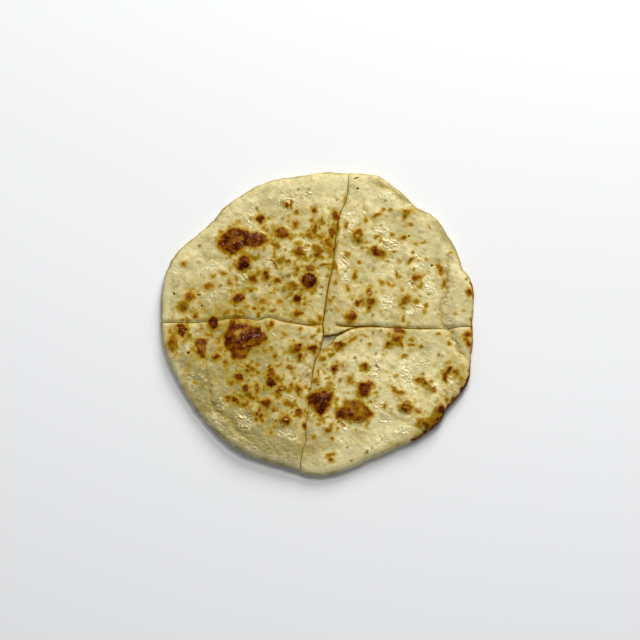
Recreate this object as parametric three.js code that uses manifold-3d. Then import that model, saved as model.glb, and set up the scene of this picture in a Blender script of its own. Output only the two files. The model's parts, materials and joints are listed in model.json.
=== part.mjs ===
import * as THREE from 'three';
import { mergeVertices } from 'three/addons/utils/BufferGeometryUtils.js';
import Module from 'manifold-3d';

// A cheese-filled naan about 200 mm across, cut crosswise into four quarters that still lie together.
// Millimetres: +Z is up, +X is to the right and +Y is to the back. The bread lies on Z = 0.
// Places are counted from a point close to where the cuts cross. The part's origin, under the middle of
// its box, lies here in them:
const originX = 0.45;
const originY = 1.1;

// The rim's distance from that point, by its direction in degrees counted from +X towards +Y.
const rimRadii = [
  [0, 99.9], [5, 101.2], [12, 103.4], [17, 103.3], [21, 100.9], [27, 102.3], [34, 102.9], [44, 103.8],
  [50, 100.7], [56, 102.4], [62, 103.9], [68, 105.8], [73, 104.2], [80, 101.5], [88, 100.7],
  [96, 98.6], [104, 99.1], [111, 99.6], [120, 98.4], [128, 97.7], [135, 95.9], [143, 97.4],
  [152, 102.0], [162, 103.2], [174, 100.9], [188, 99.6], [200, 96.8], [214, 95.4], [226, 95.6],
  [236, 96.4], [250, 95.3], [259, 95.2], [268, 98.3], [276, 98.0], [284, 95.9], [291, 94.5],
  [299, 95.0], [305, 96.1], [310, 98.5], [319, 101.2], [326, 102.6], [336, 104.0], [347, 101.5],
  [355, 100.9],
];

// Section of the bread
const bodyHeight = 7.2;
const rimLineHeight = 3.1;
const topRoundWidth = 8;
const underRoundWidth = 5;

// Puffed stretches of the rim: middle and half width in degrees, and how far they rise.
const rimPuffs = [
  [350, 26, 1.3], [316, 20, 1.0], [262, 22, 0.9], [222, 34, 1.4], [168, 22, 0.8], [100, 40, 0.8],
  [38, 26, 0.9],
];
const puffInset = 8.5;
const puffWidth = 7;

// Long soft swells over the whole bread: wave length, direction in degrees, phase and height.
const swells = [
  [92, 24, 0.6, 0.35], [61, 105, 2.1, 0.3], [43, 62, 4.0, 0.25], [31, 148, 1.2, 0.22],
  [24, 12, 3.3, 0.18],
];

// Creases, each a line with a depth and a width: inside the right rim, inside the rim at the front
// left, and a shallow fold across the front right.
const creases = [
  {
    depth: 1.0,
    width: 3.2,
    line: [
      [77, 39], [82, 32], [82, 23], [81, 12.5], [78, 7], [82, 1], [85.5, -6], [88.5, -14],
      [91.5, -18.5], [97, -23],
    ],
  },
  {
    depth: 0.9,
    width: 4,
    line: [
      [-83.5, -29.5], [-78.5, -37.5], [-69, -47], [-67, -54], [-64, -60], [-56, -66], [-50, -72],
      [-39, -76],
    ],
  },
  {
    depth: 0.5,
    width: 4,
    line: [[8, -77], [31, -74], [53, -64]],
  },
];

// Large blisters: X and Y of the middle, radius and rise.
const blisters = [
  [-52, 55, 13, 1.3], [-38, 54, 9, 0.9], [-19, 78, 5, 0.8], [-23, 59, 6, 0.7], [-10.5, 48.5, 7, 0.9],
  [-47, 40, 7, 0.9], [-5, 30, 8, 1.0], [-83.5, 14.5, 8, 0.8], [2, 48, 7, 0.7], [-14, 6, 5, 0.7],
  [-51, 16, 6, 0.7], [26.5, 57, 7, 1.0], [38.5, 47, 7, 0.9], [39, 71, 6, 0.8], [58, 72.5, 6, 0.7],
  [34, 17.5, 8, 1.0], [57, 17, 8, 0.9], [64, 29.5, 6, 0.8], [21.5, 4, 6, 0.9], [80, 36, 5, 0.6],
  [-50, -8, 12, 1.2], [-38, -12, 9, 1.0], [-66, -1, 6, 0.8], [-91, -13, 6, 0.8], [-74.5, -15.5, 7, 0.7],
  [-13.5, -18, 6, 0.7], [-28.5, -35, 7, 0.8], [-45.5, -44, 6, 0.7], [-11, -43, 5, 0.6],
  [-32.5, -51.5, 6, 0.7], [-20, -63, 6, 0.6], [3, -51.5, 9, 1.2], [23.5, -57, 11, 1.1],
  [32, -43.5, 7, 0.9], [50, -12, 7, 0.9], [73, -42, 6, 0.7], [79, -55.5, 6, 0.8], [57, -55, 7, 0.7],
  [68, -65, 6, 0.8], [10.5, -30, 5, 0.7],
];

// Small blisters scattered between the large ones.
const smallBlisterCount = 170;
const smallBlisterRadius = [3.5, 7];
const smallBlisterRise = [0.2, 0.65];
const smallBlisterSeed = 20417;

// The cuts, each a line from the outside in to where it meets the next. The right cut stops short of
// the middle and turns forward, so that the back right quarter keeps a small tab there.
const cutReach = 112;
const leftMeeting = [3.6, -0.4];
const rightMeeting = [4.1, -7.9];
const backCut = [
  [22.4, cutReach], [20.3, 94], [19.2, 83], [14.5, 71], [12.7, 61.5], [11.6, 48.5], [9.8, 36], [7, 23],
  [5.5, 12], leftMeeting,
];
const middleCut = [leftMeeting, rightMeeting];
const frontCut = [
  rightMeeting, [1.7, -18.6], [-1.2, -24.5], [-3.3, -37], [-4.8, -46.5], [-6.2, -61], [-7.6, -68.5],
  [-7, -76], [-9.1, -83], [-10.9, -96], [-12.2, -cutReach],
];
const leftCut = [
  [-cutReach, 1.2], [-91.6, 0.5], [-71.5, 0.9], [-53, 3.4], [-43, 3], [-38.5, 2], [-32, 3.9],
  [-22.5, 1.6], [-14, 0.1], [-4, -1.3], leftMeeting,
];
const rightCut = [
  [cutReach, -2.6], [96, -2.1], [85, -3.2], [74.5, -3.5], [47, -2.8], [31.5, -2.1], [22.5, -3.4],
  [16.7, -5.3], [10.3, -7.6], rightMeeting,
];
const tabSlit = [[10.5, -1.5], [16, -1.9], [22.5, -2.2], [31, -2.1]];
const cutGap = 0.6;
const rightCutGap = 0.9;
const lipWidth = 1.5;
const lipDepth = 1.0;
const slitDepth = 2.0;
const cutStep = 3.5;

// The cheese lies flat between the two layers of dough and stops short of the rim.
const cheeseInset = 16;
const cheeseFloor = 2.7;
const cheeseThickness = 1.5;
const cheeseClearance = 0.3;
const cheeseSides = 72;

// Where the top layer of the front right quarter has torn back from its point and bares the cheese.
const tornPatch = [
  [-3, -5], [8, -3], [24, -1.5], [22, -5], [16, -8.8], [12.6, -12.2], [7, -14.8], [1.4, -18.2], [-4, -19],
];

// Rings of points that carry the surfaces: the inner ones are evenly spaced, and the last ones lie at
// these distances in from the rim, on top and underneath.
const innerRings = 29;
const pointsPerRingStep = 6;
const topInsets = [5.2, 2.9, 1.3, 0.4, 0];
const underRings = [[0.6, 204], [2, 102], [underRoundWidth, 102]];

const doughColours = {
  back_left: '#d3c48c',
  back_right: '#dccd97',
  front_left: '#c3b57c',
  front_right: '#d0c188',
};
const cheeseColour = '#e6d7a0';

const wasm = await Module();
wasm.setup();

const fullTurn = 2 * Math.PI;

function seededDraw(seed) {
  let state = seed;
  return () => {
    state = (Math.imul(1664525, state) + 1013904223) >>> 0;
    return state / 2 ** 32;
  };
}

// A smooth closed curve through the rim's radii, with the slope at each point taken from its neighbours.
function rimRadius(angle) {
  const degrees = THREE.MathUtils.euclideanModulo(THREE.MathUtils.radToDeg(angle), 360);
  const count = rimRadii.length;
  const pointAt = (i) => {
    const [direction, radius] = rimRadii[(i + count) % count];
    return [direction + 360 * Math.floor(i / count), radius];
  };
  let i = 0;
  while (i + 1 < count && rimRadii[i + 1][0] <= degrees) i += 1;
  const [before, start, end, after] = [pointAt(i - 1), pointAt(i), pointAt(i + 1), pointAt(i + 2)];
  const span = end[0] - start[0];
  const startSlope = (end[1] - before[1]) / (end[0] - before[0]);
  const endSlope = (after[1] - start[1]) / (after[0] - start[0]);
  const t = (degrees - start[0]) / span;
  return (
    start[1] * (1 + 2 * t) * (1 - t) ** 2
    + startSlope * span * t * (1 - t) ** 2
    + end[1] * (3 - 2 * t) * t ** 2
    + endSlope * span * (t - 1) * t ** 2
  );
}

function hump(distance, width) {
  return Math.exp(-((distance / width) ** 2));
}

// Rises from 0 at the rim to 1 one width inside it, as a quarter of an ellipse.
function roundOver(inset, width) {
  return Math.sqrt(1 - Math.max(0, 1 - inset / width) ** 2);
}

function puffRise(angle, inset) {
  const degrees = THREE.MathUtils.radToDeg(angle);
  const share = hump(inset - puffInset, puffWidth);
  return rimPuffs.reduce((rise, [middle, halfWidth, height]) => {
    const turn = THREE.MathUtils.euclideanModulo(degrees - middle + 180, 360) - 180;
    return rise + share * height * hump(turn, halfWidth);
  }, 0);
}

function swellRise(x, y) {
  return swells.reduce((rise, [length, direction, phase, height]) => {
    const heading = THREE.MathUtils.degToRad(direction);
    const along = x * Math.cos(heading) + y * Math.sin(heading);
    return rise + height * Math.sin((fullTurn * along) / length + phase);
  }, 0);
}

function distanceToLine(x, y, line) {
  const point = new THREE.Vector3(x, y, 0);
  const nearest = new THREE.Vector3();
  let least = Infinity;
  for (let i = 1; i < line.length; i += 1) {
    const edge = new THREE.Line3(new THREE.Vector3(...line[i - 1], 0), new THREE.Vector3(...line[i], 0));
    edge.closestPointToPoint(point, true, nearest);
    least = Math.min(least, nearest.distanceTo(point));
  }
  return least;
}

function creaseDrop(x, y) {
  return creases.reduce((drop, { depth, width, line }) => {
    return drop + depth * hump(distanceToLine(x, y, line), width);
  }, 0);
}

function scatterSmallBlisters() {
  const draw = seededDraw(smallBlisterSeed);
  return Array.from({ length: smallBlisterCount }, () => {
    const angle = fullTurn * draw();
    const reach = (rimRadius(angle) - topRoundWidth) * Math.sqrt(draw());
    const radius = THREE.MathUtils.lerp(...smallBlisterRadius, draw());
    const rise = THREE.MathUtils.lerp(...smallBlisterRise, draw());
    return [reach * Math.cos(angle), reach * Math.sin(angle), radius, rise];
  });
}

const allBlisters = [...blisters, ...scatterSmallBlisters()];

function blisterRise(x, y) {
  return allBlisters.reduce((rise, [middleX, middleY, radius, height]) => {
    const distance = Math.hypot(x - middleX, y - middleY) / radius;
    return distance < 1 ? rise + height * (1 - distance ** 2) ** 2 : rise;
  }, 0);
}

function topHeight(x, y) {
  const angle = Math.atan2(y, x);
  const inset = Math.max(0, rimRadius(angle) - Math.hypot(x, y));
  const relief = puffRise(angle, inset) + swellRise(x, y) + blisterRise(x, y) - creaseDrop(x, y);
  return rimLineHeight + (bodyHeight + relief - rimLineHeight) * roundOver(inset, topRoundWidth);
}

function ringOfPoints(count, radiusAt, heightAt) {
  return Array.from({ length: count }, (_, i) => {
    const angle = (fullTurn * i) / count;
    const radius = radiusAt(angle);
    const x = radius * Math.cos(angle);
    const y = radius * Math.sin(angle);
    return [x, y, heightAt(x, y)];
  });
}

function topRings() {
  const even = Array.from({ length: innerRings }, (_, i) => {
    const share = (i + 1) / innerRings;
    return (angle) => share * (rimRadius(angle) - topRoundWidth);
  });
  const edge = topInsets.map((inset) => (angle) => rimRadius(angle) - inset);
  return [...even, ...edge].map((radiusAt, i) => {
    return ringOfPoints((i + 1) * pointsPerRingStep, radiusAt, topHeight);
  });
}

function bottomRings() {
  return underRings.map(([inset, count]) => {
    const height = rimLineHeight * (1 - roundOver(inset, underRoundWidth));
    return ringOfPoints(count, (angle) => rimRadius(angle) - inset, () => height);
  });
}

// Joins two rings of any number of points with one band of triangles.
function bandBetween(inner, outer, facesUp) {
  const pointOf = (ring, i) => ring.start + (i % ring.count);
  const triangles = [];
  let i = 0;
  let o = 0;
  while (i < inner.count || o < outer.count) {
    const stepOuter = (o + 1) / outer.count <= (i + 1) / inner.count;
    const here = pointOf(inner, i);
    const there = pointOf(outer, o);
    const next = stepOuter ? pointOf(outer, o + 1) : pointOf(inner, i + 1);
    triangles.push(...(facesUp ? [here, there, next] : [here, next, there]));
    if (stepOuter) o += 1;
    else i += 1;
  }
  return triangles;
}

// The whole uncut bread: the top rings run out to the rim, and the bottom rings run back to the middle.
function breadGeometry() {
  const top = topRings();
  const bottom = bottomRings().reverse();
  const points = [[0, 0, topHeight(0, 0)], [0, 0, 0]];
  const spans = [...bottom, ...top].map((ring) => {
    const span = { start: points.length, count: ring.length };
    points.push(...ring);
    return span;
  });
  const bottomSpans = spans.slice(0, bottom.length);
  const topSpans = spans.slice(bottom.length);
  const outward = [...bottomSpans, topSpans[topSpans.length - 1]];
  const triangles = [];
  const firstTop = topSpans[0];
  const firstBottom = bottomSpans[0];
  for (let i = 0; i < firstTop.count; i += 1) {
    triangles.push(0, firstTop.start + i, firstTop.start + ((i + 1) % firstTop.count));
  }
  for (let i = 0; i < firstBottom.count; i += 1) {
    triangles.push(1, firstBottom.start + ((i + 1) % firstBottom.count), firstBottom.start + i);
  }
  topSpans.slice(1).forEach((span, i) => triangles.push(...bandBetween(topSpans[i], span, true)));
  outward.slice(1).forEach((span, i) => triangles.push(...bandBetween(outward[i], span, false)));
  const geometry = new THREE.BufferGeometry();
  geometry.setAttribute('position', new THREE.Float32BufferAttribute(points.flat(), 3));
  geometry.setIndex(triangles);
  return geometry;
}

function smoothLine(points) {
  const curve = new THREE.CatmullRomCurve3(points.map(([x, y]) => new THREE.Vector3(x, y, 0)));
  return curve.getSpacedPoints(Math.max(2, Math.round(curve.getLength() / cutStep)));
}

// A wall along a line. Each section is a closed outline of [sideways, height] pairs.
function wallGeometry(line, sectionAt) {
  const sections = line.map((point, i) => {
    const heading = new THREE.Vector3().subVectors(
      line[Math.min(i + 1, line.length - 1)],
      line[Math.max(i - 1, 0)],
    ).normalize();
    return sectionAt(point).map(([sideways, height]) => [
      point.x - heading.y * sideways,
      point.y + heading.x * sideways,
      height,
    ]);
  });
  const corners = sections[0].length;
  const triangles = [];
  for (let i = 1; i < sections.length; i += 1) {
    for (let k = 0; k < corners; k += 1) {
      const [near, far] = [(i - 1) * corners, i * corners];
      const next = (k + 1) % corners;
      triangles.push(near + k, near + next, far + next);
      triangles.push(near + k, far + next, far + k);
    }
  }
  const outline = sectionAt(line[0]).map(([sideways, height]) => new THREE.Vector2(sideways, height));
  const lastStart = (sections.length - 1) * corners;
  THREE.ShapeUtils.triangulateShape(outline, []).forEach(([a, b, c]) => {
    triangles.push(a, c, b);
    triangles.push(lastStart + a, lastStart + b, lastStart + c);
  });
  const geometry = new THREE.BufferGeometry();
  geometry.setAttribute('position', new THREE.Float32BufferAttribute(sections.flat(2), 3));
  geometry.setIndex(triangles);
  return geometry;
}

// What a blade takes out: a thin gap that opens into two soft lips where it pressed the crust down.
function cutGeometry(points, gap, depth) {
  const line = smoothLine(points);
  const ceiling = 3 * bodyHeight;
  return wallGeometry(line, ({ x, y }) => {
    const crust = topHeight(x, y);
    const floor = crust - depth;
    const rightSide = [
      [gap / 2, floor], [gap / 2, crust - lipDepth], [lipWidth, crust + lipDepth], [lipWidth, ceiling],
    ];
    const leftSide = rightSide.map(([sideways, height]) => [-sideways, height]).reverse();
    return [...rightSide, ...leftSide];
  });
}

function prismGeometry(outline, bottom, height) {
  const shape = new THREE.Shape(outline.map(([x, y]) => new THREE.Vector2(x, y)));
  const geometry = new THREE.ExtrudeGeometry(shape, { depth: height, bevelEnabled: false });
  return geometry.translate(0, 0, bottom);
}

// The plan of one quarter, between the two cuts beside it and out to a far corner.
function quarterPlan(lines, corner) {
  const plan = lines.flatMap((line) => line.map(({ x, y }) => [x, y]));
  return [...plan, corner];
}

function cheeseGeometry(clearance) {
  const outline = Array.from({ length: cheeseSides }, (_, i) => {
    const angle = (fullTurn * i) / cheeseSides;
    const radius = rimRadius(angle) - cheeseInset - clearance;
    return [radius * Math.cos(angle), radius * Math.sin(angle)];
  });
  const thickness = cheeseThickness + 2 * (cheeseClearance - clearance);
  return prismGeometry(outline, cheeseFloor + clearance, thickness);
}

function toSolid(geometry) {
  const bare = geometry.clone();
  bare.deleteAttribute('normal');
  bare.deleteAttribute('uv');
  const { attributes, index } = mergeVertices(bare);
  return new wasm.Manifold(new wasm.Mesh({
    numProp: 3,
    vertProperties: Float32Array.from(attributes.position.array),
    triVerts: Uint32Array.from(index.array),
  }));
}

function toMesh(name, solid, colour, roughness) {
  const { vertProperties, triVerts } = solid.getMesh();
  const geometry = new THREE.BufferGeometry();
  geometry.setAttribute('position', new THREE.Float32BufferAttribute(vertProperties, 3));
  geometry.setIndex(Array.from(triVerts));
  geometry.translate(-originX, -originY, 0);
  geometry.computeVertexNormals();
  const material = new THREE.MeshStandardMaterial({ color: colour, roughness, metalness: 0 });
  const mesh = new THREE.Mesh(geometry, material);
  mesh.name = name;
  return mesh;
}

function allCuts() {
  const through = 3 * bodyHeight;
  return [
    cutGeometry(backCut, cutGap, through),
    cutGeometry(middleCut, cutGap, through),
    cutGeometry(frontCut, cutGap, through),
    cutGeometry(leftCut, cutGap, through),
    cutGeometry(rightCut, rightCutGap, through),
    cutGeometry(tabSlit, cutGap, slitDepth),
  ].map(toSolid);
}

function quarterPlans() {
  const lines = [backCut, middleCut, frontCut, leftCut, rightCut];
  const [back, middle, front, left, right] = lines.map(smoothLine);
  const outward = (line) => [...line].reverse();
  return {
    back_left: quarterPlan([back, outward(left)], [-cutReach, cutReach]),
    back_right: quarterPlan([back, middle.slice(1), outward(right)], [cutReach, cutReach]),
    front_left: quarterPlan([left, middle.slice(1), front.slice(1)], [-cutReach, -cutReach]),
    front_right: quarterPlan([right, front.slice(1)], [cutReach, -cutReach]),
  };
}

function buildNaan() {
  const cuts = allCuts();
  const cutAll = (solid) => cuts.reduce((rest, cut) => rest.subtract(cut), solid);
  const layers = cutAll(toSolid(breadGeometry())).subtract(toSolid(cheeseGeometry(0)));
  const cheese = cutAll(toSolid(cheeseGeometry(cheeseClearance)));
  const torn = toSolid(prismGeometry(tornPatch, cheeseFloor + cheeseThickness, 3 * bodyHeight));
  const naan = new THREE.Group();
  for (const [place, plan] of Object.entries(quarterPlans())) {
    const block = toSolid(prismGeometry(plan, -bodyHeight, 5 * bodyHeight));
    const quarter = layers.intersect(block);
    const dough = place === 'front_right' ? quarter.subtract(torn) : quarter;
    naan.add(toMesh(`dough_${place}`, dough, doughColours[place], 0.6));
    naan.add(toMesh(`cheese_${place}`, cheese.intersect(block), cheeseColour, 0.4));
  }
  return naan;
}

const naan = buildNaan();

export default naan;
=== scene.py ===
import json
import math

import bpy
import numpy as np
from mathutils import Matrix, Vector

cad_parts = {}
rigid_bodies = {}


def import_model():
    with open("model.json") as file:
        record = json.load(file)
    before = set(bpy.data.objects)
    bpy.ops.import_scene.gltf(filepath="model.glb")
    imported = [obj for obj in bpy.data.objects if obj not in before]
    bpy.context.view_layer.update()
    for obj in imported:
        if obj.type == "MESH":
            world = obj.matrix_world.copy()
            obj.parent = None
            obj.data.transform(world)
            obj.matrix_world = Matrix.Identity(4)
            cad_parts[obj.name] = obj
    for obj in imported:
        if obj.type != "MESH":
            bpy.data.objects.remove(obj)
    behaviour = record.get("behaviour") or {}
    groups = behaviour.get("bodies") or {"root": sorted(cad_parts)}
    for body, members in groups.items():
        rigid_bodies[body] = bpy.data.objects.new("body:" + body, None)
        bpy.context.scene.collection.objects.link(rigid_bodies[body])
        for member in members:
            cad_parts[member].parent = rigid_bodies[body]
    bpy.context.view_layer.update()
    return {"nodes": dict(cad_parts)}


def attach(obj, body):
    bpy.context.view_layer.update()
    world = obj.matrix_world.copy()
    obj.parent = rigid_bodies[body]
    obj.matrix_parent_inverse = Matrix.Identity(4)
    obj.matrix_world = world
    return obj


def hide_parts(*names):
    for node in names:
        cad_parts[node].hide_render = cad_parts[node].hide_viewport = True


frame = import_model()
print("frame loaded:", len(frame["nodes"]), "nodes")

# A cheese naan about 200 mm across, cut crosswise into four quarters that still lie together.
# All sizes here are in millimetres until a mesh is made: +X is right, +Y is back, +Z is up.
mm = 0.001

# Places are counted from a point close to where the cuts cross. The part's origin lies here in them:
partOrigin = np.array([0.45, 1.1, 0])


# Curves, noise and distances that the whole bread is drawn with
def smoothStep(low, high, value):
    t = np.clip((value - low) / (high - low), 0, 1)
    return t * t * (3 - 2 * t)


def hump(distance, width):
    return np.exp(-((distance / width) ** 2))


def softNoise(x, y, size, seed):
    # gradient noise from about -1 to 1, with waves about as long as size
    slopes = np.random.default_rng(seed).uniform(0, 2 * math.pi, (256, 256))
    slopeX, slopeY = np.cos(slopes), np.sin(slopes)
    u, v = np.asarray(x) / size + 128, np.asarray(y) / size + 128
    column, row = np.floor(u).astype(int), np.floor(v).astype(int)
    fu, fv = u - column, v - row
    easeU, easeV = fu**3 * (fu * (6 * fu - 15) + 10), fv**3 * (fv * (6 * fv - 15) + 10)

    def corner(stepU, stepV):
        spot = ((row + stepV) % 256, (column + stepU) % 256)
        return slopeX[spot] * (fu - stepU) + slopeY[spot] * (fv - stepV)

    near = corner(0, 0) * (1 - easeU) + corner(1, 0) * easeU
    far = corner(0, 1) * (1 - easeU) + corner(1, 1) * easeU
    return 1.5 * (near * (1 - easeV) + far * easeV)


def layeredNoise(x, y, *layers):
    # the sum of several soft noises, each with its height, size and seed
    return sum(height * softNoise(x, y, size, seed) for height, size, seed in layers)


def ridges(x, y, size, seed):
    # thin raised folds, 0 to 1
    return (1 - np.abs(softNoise(x, y, size, seed))) ** 3


def turnedInto(dx, dy, degrees):
    # how far a point lies along a direction and across it
    c, s = math.cos(math.radians(degrees)), math.sin(math.radians(degrees))
    return dx * c + dy * s, dy * c - dx * s


def degreesFrom(angle, middle):
    # the turn from a direction in degrees to an angle, from -180 to 180
    return (np.degrees(angle) - middle + 180) % 360 - 180


def distanceToLine(x, y, line):
    least = np.full(np.shape(x), 1e9)
    for (ax, ay), (bx, by) in zip(line, line[1:]):
        length = (bx - ax) ** 2 + (by - ay) ** 2
        t = np.clip(((x - ax) * (bx - ax) + (y - ay) * (by - ay)) / length, 0, 1)
        least = np.minimum(least, np.hypot(x - ax - t * (bx - ax), y - ay - t * (by - ay)))
    return least


def outlineDistance(x, y, outline):
    # how far outside a closed outline each point lies, and below 0 inside
    closed = [*outline, outline[0]]
    inside = np.zeros(np.shape(x), bool)
    for (ax, ay), (bx, by) in zip(closed, closed[1:]):
        if ay != by:
            inside ^= ((ay > y) != (by > y)) & (x < ax + (y - ay) * (bx - ax) / (by - ay))
    return np.where(inside, -1, 1) * distanceToLine(x, y, closed)


def curveThrough(points, slopes, k, span, t):
    # the smooth curve's place at the share t of the span from point k to the next
    return (
        points[k] * (1 + 2 * t) * (1 - t) ** 2
        + slopes[k] * span * t * (1 - t) ** 2
        + points[k + 1] * (3 - 2 * t) * t**2
        + slopes[k + 1] * span * (t - 1) * t**2
    )


def smoothLine(points, step):
    # a smooth curve through the points, with a new point every step
    points = np.array(points, float)
    chords = np.hypot(*np.diff(points, axis=0).T)
    along = np.concatenate([[0], np.cumsum(chords)])
    if len(points) > 2:
        slopes = np.gradient(points, along, axis=0)
    else:
        slopes = np.array([points[1] - points[0]] * 2) / chords
    fine = np.linspace(0, along[-1], max(3, int(along[-1] / step) + 1))
    k = np.clip(np.searchsorted(along, fine, side="right") - 1, 0, len(points) - 2)
    span = (along[k + 1] - along[k])[:, None]
    return curveThrough(points, slopes, k, span, (fine - along[k])[:, None] / span)


# The rim's distance from the point that places are counted from, by direction in degrees from +X to +Y
rimRadii = [
    (0, 99.9), (5, 101.2), (12, 103.4), (17, 103.3), (21, 100.9), (27, 102.3), (34, 102.9), (44, 103.8),
    (50, 100.7), (56, 102.4), (62, 103.9), (68, 105.8), (73, 104.2), (80, 101.5), (88, 100.7), (96, 98.6),
    (104, 99.1), (111, 99.6), (120, 98.4), (128, 97.7), (135, 95.9), (143, 97.4), (152, 102.0),
    (162, 103.2), (174, 100.9), (188, 99.6), (200, 96.8), (214, 95.4), (226, 95.6), (236, 96.4),
    (250, 95.3), (259, 95.2), (268, 98.3), (276, 98.0), (284, 95.9), (291, 94.5), (299, 95.0),
    (305, 96.1), (310, 98.5), (318, 100.7), (322, 101.4), (325.5, 100.2), (329, 100.9), (334, 102.8),
    (339, 104.2), (347, 101.5), (355, 100.9),
]
bread = {
    "bodyHeight": 7.2,
    "rimLineHeight": 3.1,    # where the top and the underside meet at the rim
    "topRoundWidth": 6,
    "underRoundWidth": 5,
    "underRoundInsets": (0.06, 0.25, 0.6, 1.1, 1.8, 2.7, 3.8, 5.0),   # rings round the lower edge
    "underRipple": 0.12,
    "flatInset": 6.2,        # where the flat underside begins, inside the rim
    "rimRipple": 0.35,       # small waves of the outline
    "innerRings": 260,   # rings of points from the middle to the rounded edge
    "rimRings": 30,
    "underRings": 70,
}


def rimRadius(angle):
    degrees = np.degrees(angle) % 360
    # a few points more on each side, so that the curve closes
    near = [(d - 360, r) for d, r in rimRadii[-2:]] + rimRadii + [(d + 360, r) for d, r in rimRadii[:3]]
    directions, radii = np.array(near, float).T
    slopes = np.zeros(len(radii))
    slopes[1:-1] = (radii[2:] - radii[:-2]) / (directions[2:] - directions[:-2])
    start = np.searchsorted(directions, degrees, side="right") - 1
    span = directions[start + 1] - directions[start]
    return curveThrough(radii, slopes, start, span, (degrees - directions[start]) / span)


def rippledRadius(angle):
    ripple = layeredNoise(100 * np.cos(angle), 100 * np.sin(angle), (1, 6, 41), (0.5, 2.6, 42))
    return rimRadius(angle) + bread["rimRipple"] * ripple


def insetAt(x, y):
    # how far inside the rim a point lies
    return rippledRadius(np.arctan2(y, x)) - np.hypot(x, y)


def roundOver(inset, width):
    # rises from 0 at the rim to 1 one width inside it, as a quarter of an ellipse
    return np.sqrt(1 - np.maximum(0, 1 - inset / width) ** 2)


def fullerRound(inset, width):
    # the same, but fuller and steeper at the rim
    return np.cbrt(1 - np.maximum(0, 1 - inset / width) ** 3)


# The grid that the crust's marks and relief are painted on
gridStep = 0.25
gridReach = 108
gridLine = np.arange(-gridReach, gridReach + gridStep / 2, gridStep)
gridX, gridY = np.meshgrid(gridLine, gridLine)
gridAngle = np.arctan2(gridY, gridX)
gridInset = rimRadius(gridAngle) - np.hypot(gridX, gridY)


def sample(field, x, y):
    # the field's value at any point, from the four grid points round it
    u = np.clip((np.asarray(x) + gridReach) / gridStep, 0, len(gridLine) - 1.001)
    v = np.clip((np.asarray(y) + gridReach) / gridStep, 0, len(gridLine) - 1.001)
    column, row = u.astype(int), v.astype(int)
    fu, fv = u - column, v - row
    near = field[row, column] * (1 - fu) + field[row, column + 1] * fu
    far = field[row + 1, column] * (1 - fu) + field[row + 1, column + 1] * fu
    return near * (1 - fv) + far * fv


def around(x, y, reach):
    # the part of the grid within reach of a point
    low = [max(0, int((c - reach + gridReach) / gridStep)) for c in (x, y)]
    high = [int((c + reach + gridReach) / gridStep) + 2 for c in (x, y)]
    return slice(low[1], high[1]), slice(low[0], high[0])


def blurred(field, size):
    # the field softened over about size millimetres
    across, down = np.fft.rfftfreq(len(gridLine), gridStep), np.fft.fftfreq(len(gridLine), gridStep)
    keep = np.exp(-2 * (math.pi * size) ** 2 * (across[None, :] ** 2 + down[:, None] ** 2))
    return np.fft.irfft2(np.fft.rfft2(field) * keep, s=field.shape)


def paint(field, here, value):
    field[here] = np.maximum(field[here], value)


# What makes the listed marks wander like real ones: shifts, a ragged edge and uneven strength
warpX = layeredNoise(gridX, gridY, (1.3, 5.5, 51), (0.8, 2.4, 52))
warpY = layeredNoise(gridX, gridY, (1.3, 5.5, 53), (0.8, 2.4, 54))
raggedness = layeredNoise(gridX, gridY, (0.4, 2.6, 55), (0.2, 1.2, 56))
uneven = np.clip(0.5 + layeredNoise(gridX, gridY, (0.9, 4.4, 59), (0.5, 1.6, 60)), 0, 1)


def markDistance(here, x, y, length, width, turn):
    # how far outside a mark's wavering edge each grid point lies, in mm, and below 0 inside
    size = math.sqrt(length * width)
    waver = min(1, 0.25 + size / 4)
    dx = gridX[here] - x + waver * (warpX[here] - sample(warpX, x, y))
    dy = gridY[here] - y + waver * (warpY[here] - sample(warpY, x, y))
    along, across = turnedInto(dx, dy, turn)
    outside = (np.hypot(along / length, across / width) - 1) * size
    return outside + 1.3 * waver * raggedness[here]


def scatter(values, reach):
    # seeded spots within reach of the rim: X, Y, radius and strength
    draw = np.random.default_rng(values["seed"])
    angle = draw.uniform(0, 2 * math.pi, values["count"])
    far = (rimRadius(angle) - reach) * np.sqrt(draw.uniform(0, 1, values["count"]))
    size = draw.uniform(0, 1, values["count"])
    low, high = values["radius"]
    radius = low * (high / low) ** size
    strength = draw.uniform(*values["strength"], values["count"])
    return zip(far * np.cos(angle), far * np.sin(angle), radius, strength)


# The cuts, each from the outside in to where it meets the next
cutReach = 112
leftMeeting = (3.6, -0.4)
rightMeeting = (4.3, -8.1)
cutLines = {
    "backCut": [
        (22.4, cutReach), (20.3, 94), (19.2, 83), (14.5, 71), (12.7, 61.5), (11.6, 48.5), (9.8, 36),
        (7, 23), (5.5, 12), leftMeeting,
    ],
    "middleCut": [leftMeeting, rightMeeting],
    "frontCut": [
        rightMeeting, (1.7, -18.6), (-1.2, -24.5), (-3.3, -37), (-4.8, -46.5), (-6.2, -61),
        (-7.6, -68.5), (-7, -76), (-9.1, -83), (-10.9, -96), (-12.2, -cutReach),
    ],
    "leftCut": [
        (-cutReach, 1.2), (-91.6, 0.5), (-71.5, 0.9), (-53, 3.4), (-43, 3), (-38.5, 2), (-32, 3.9),
        (-22.5, 1.6), (-14, 0.1), (-4, -1.3), leftMeeting,
    ],
    "rightCut": [
        (cutReach, -2.6), (96, -2.1), (85, -3.2), (74.5, -3.5), (47, -2.8), (31.5, -2.1),
        (22.5, -3.4), (16.5, -6), (12.2, -7.4), (10.1, -7.3), (8.2, -8.1), (6.2, -8), rightMeeting,
    ],
}
tabSlit = [(13, -1.4), (17, -1.8), (22.5, -2.2), (31, -2.1)]
tabEdge = [(22.5, -3.4), (16.5, -6), (10.3, -7.6), (4.3, -8.1)]

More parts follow.
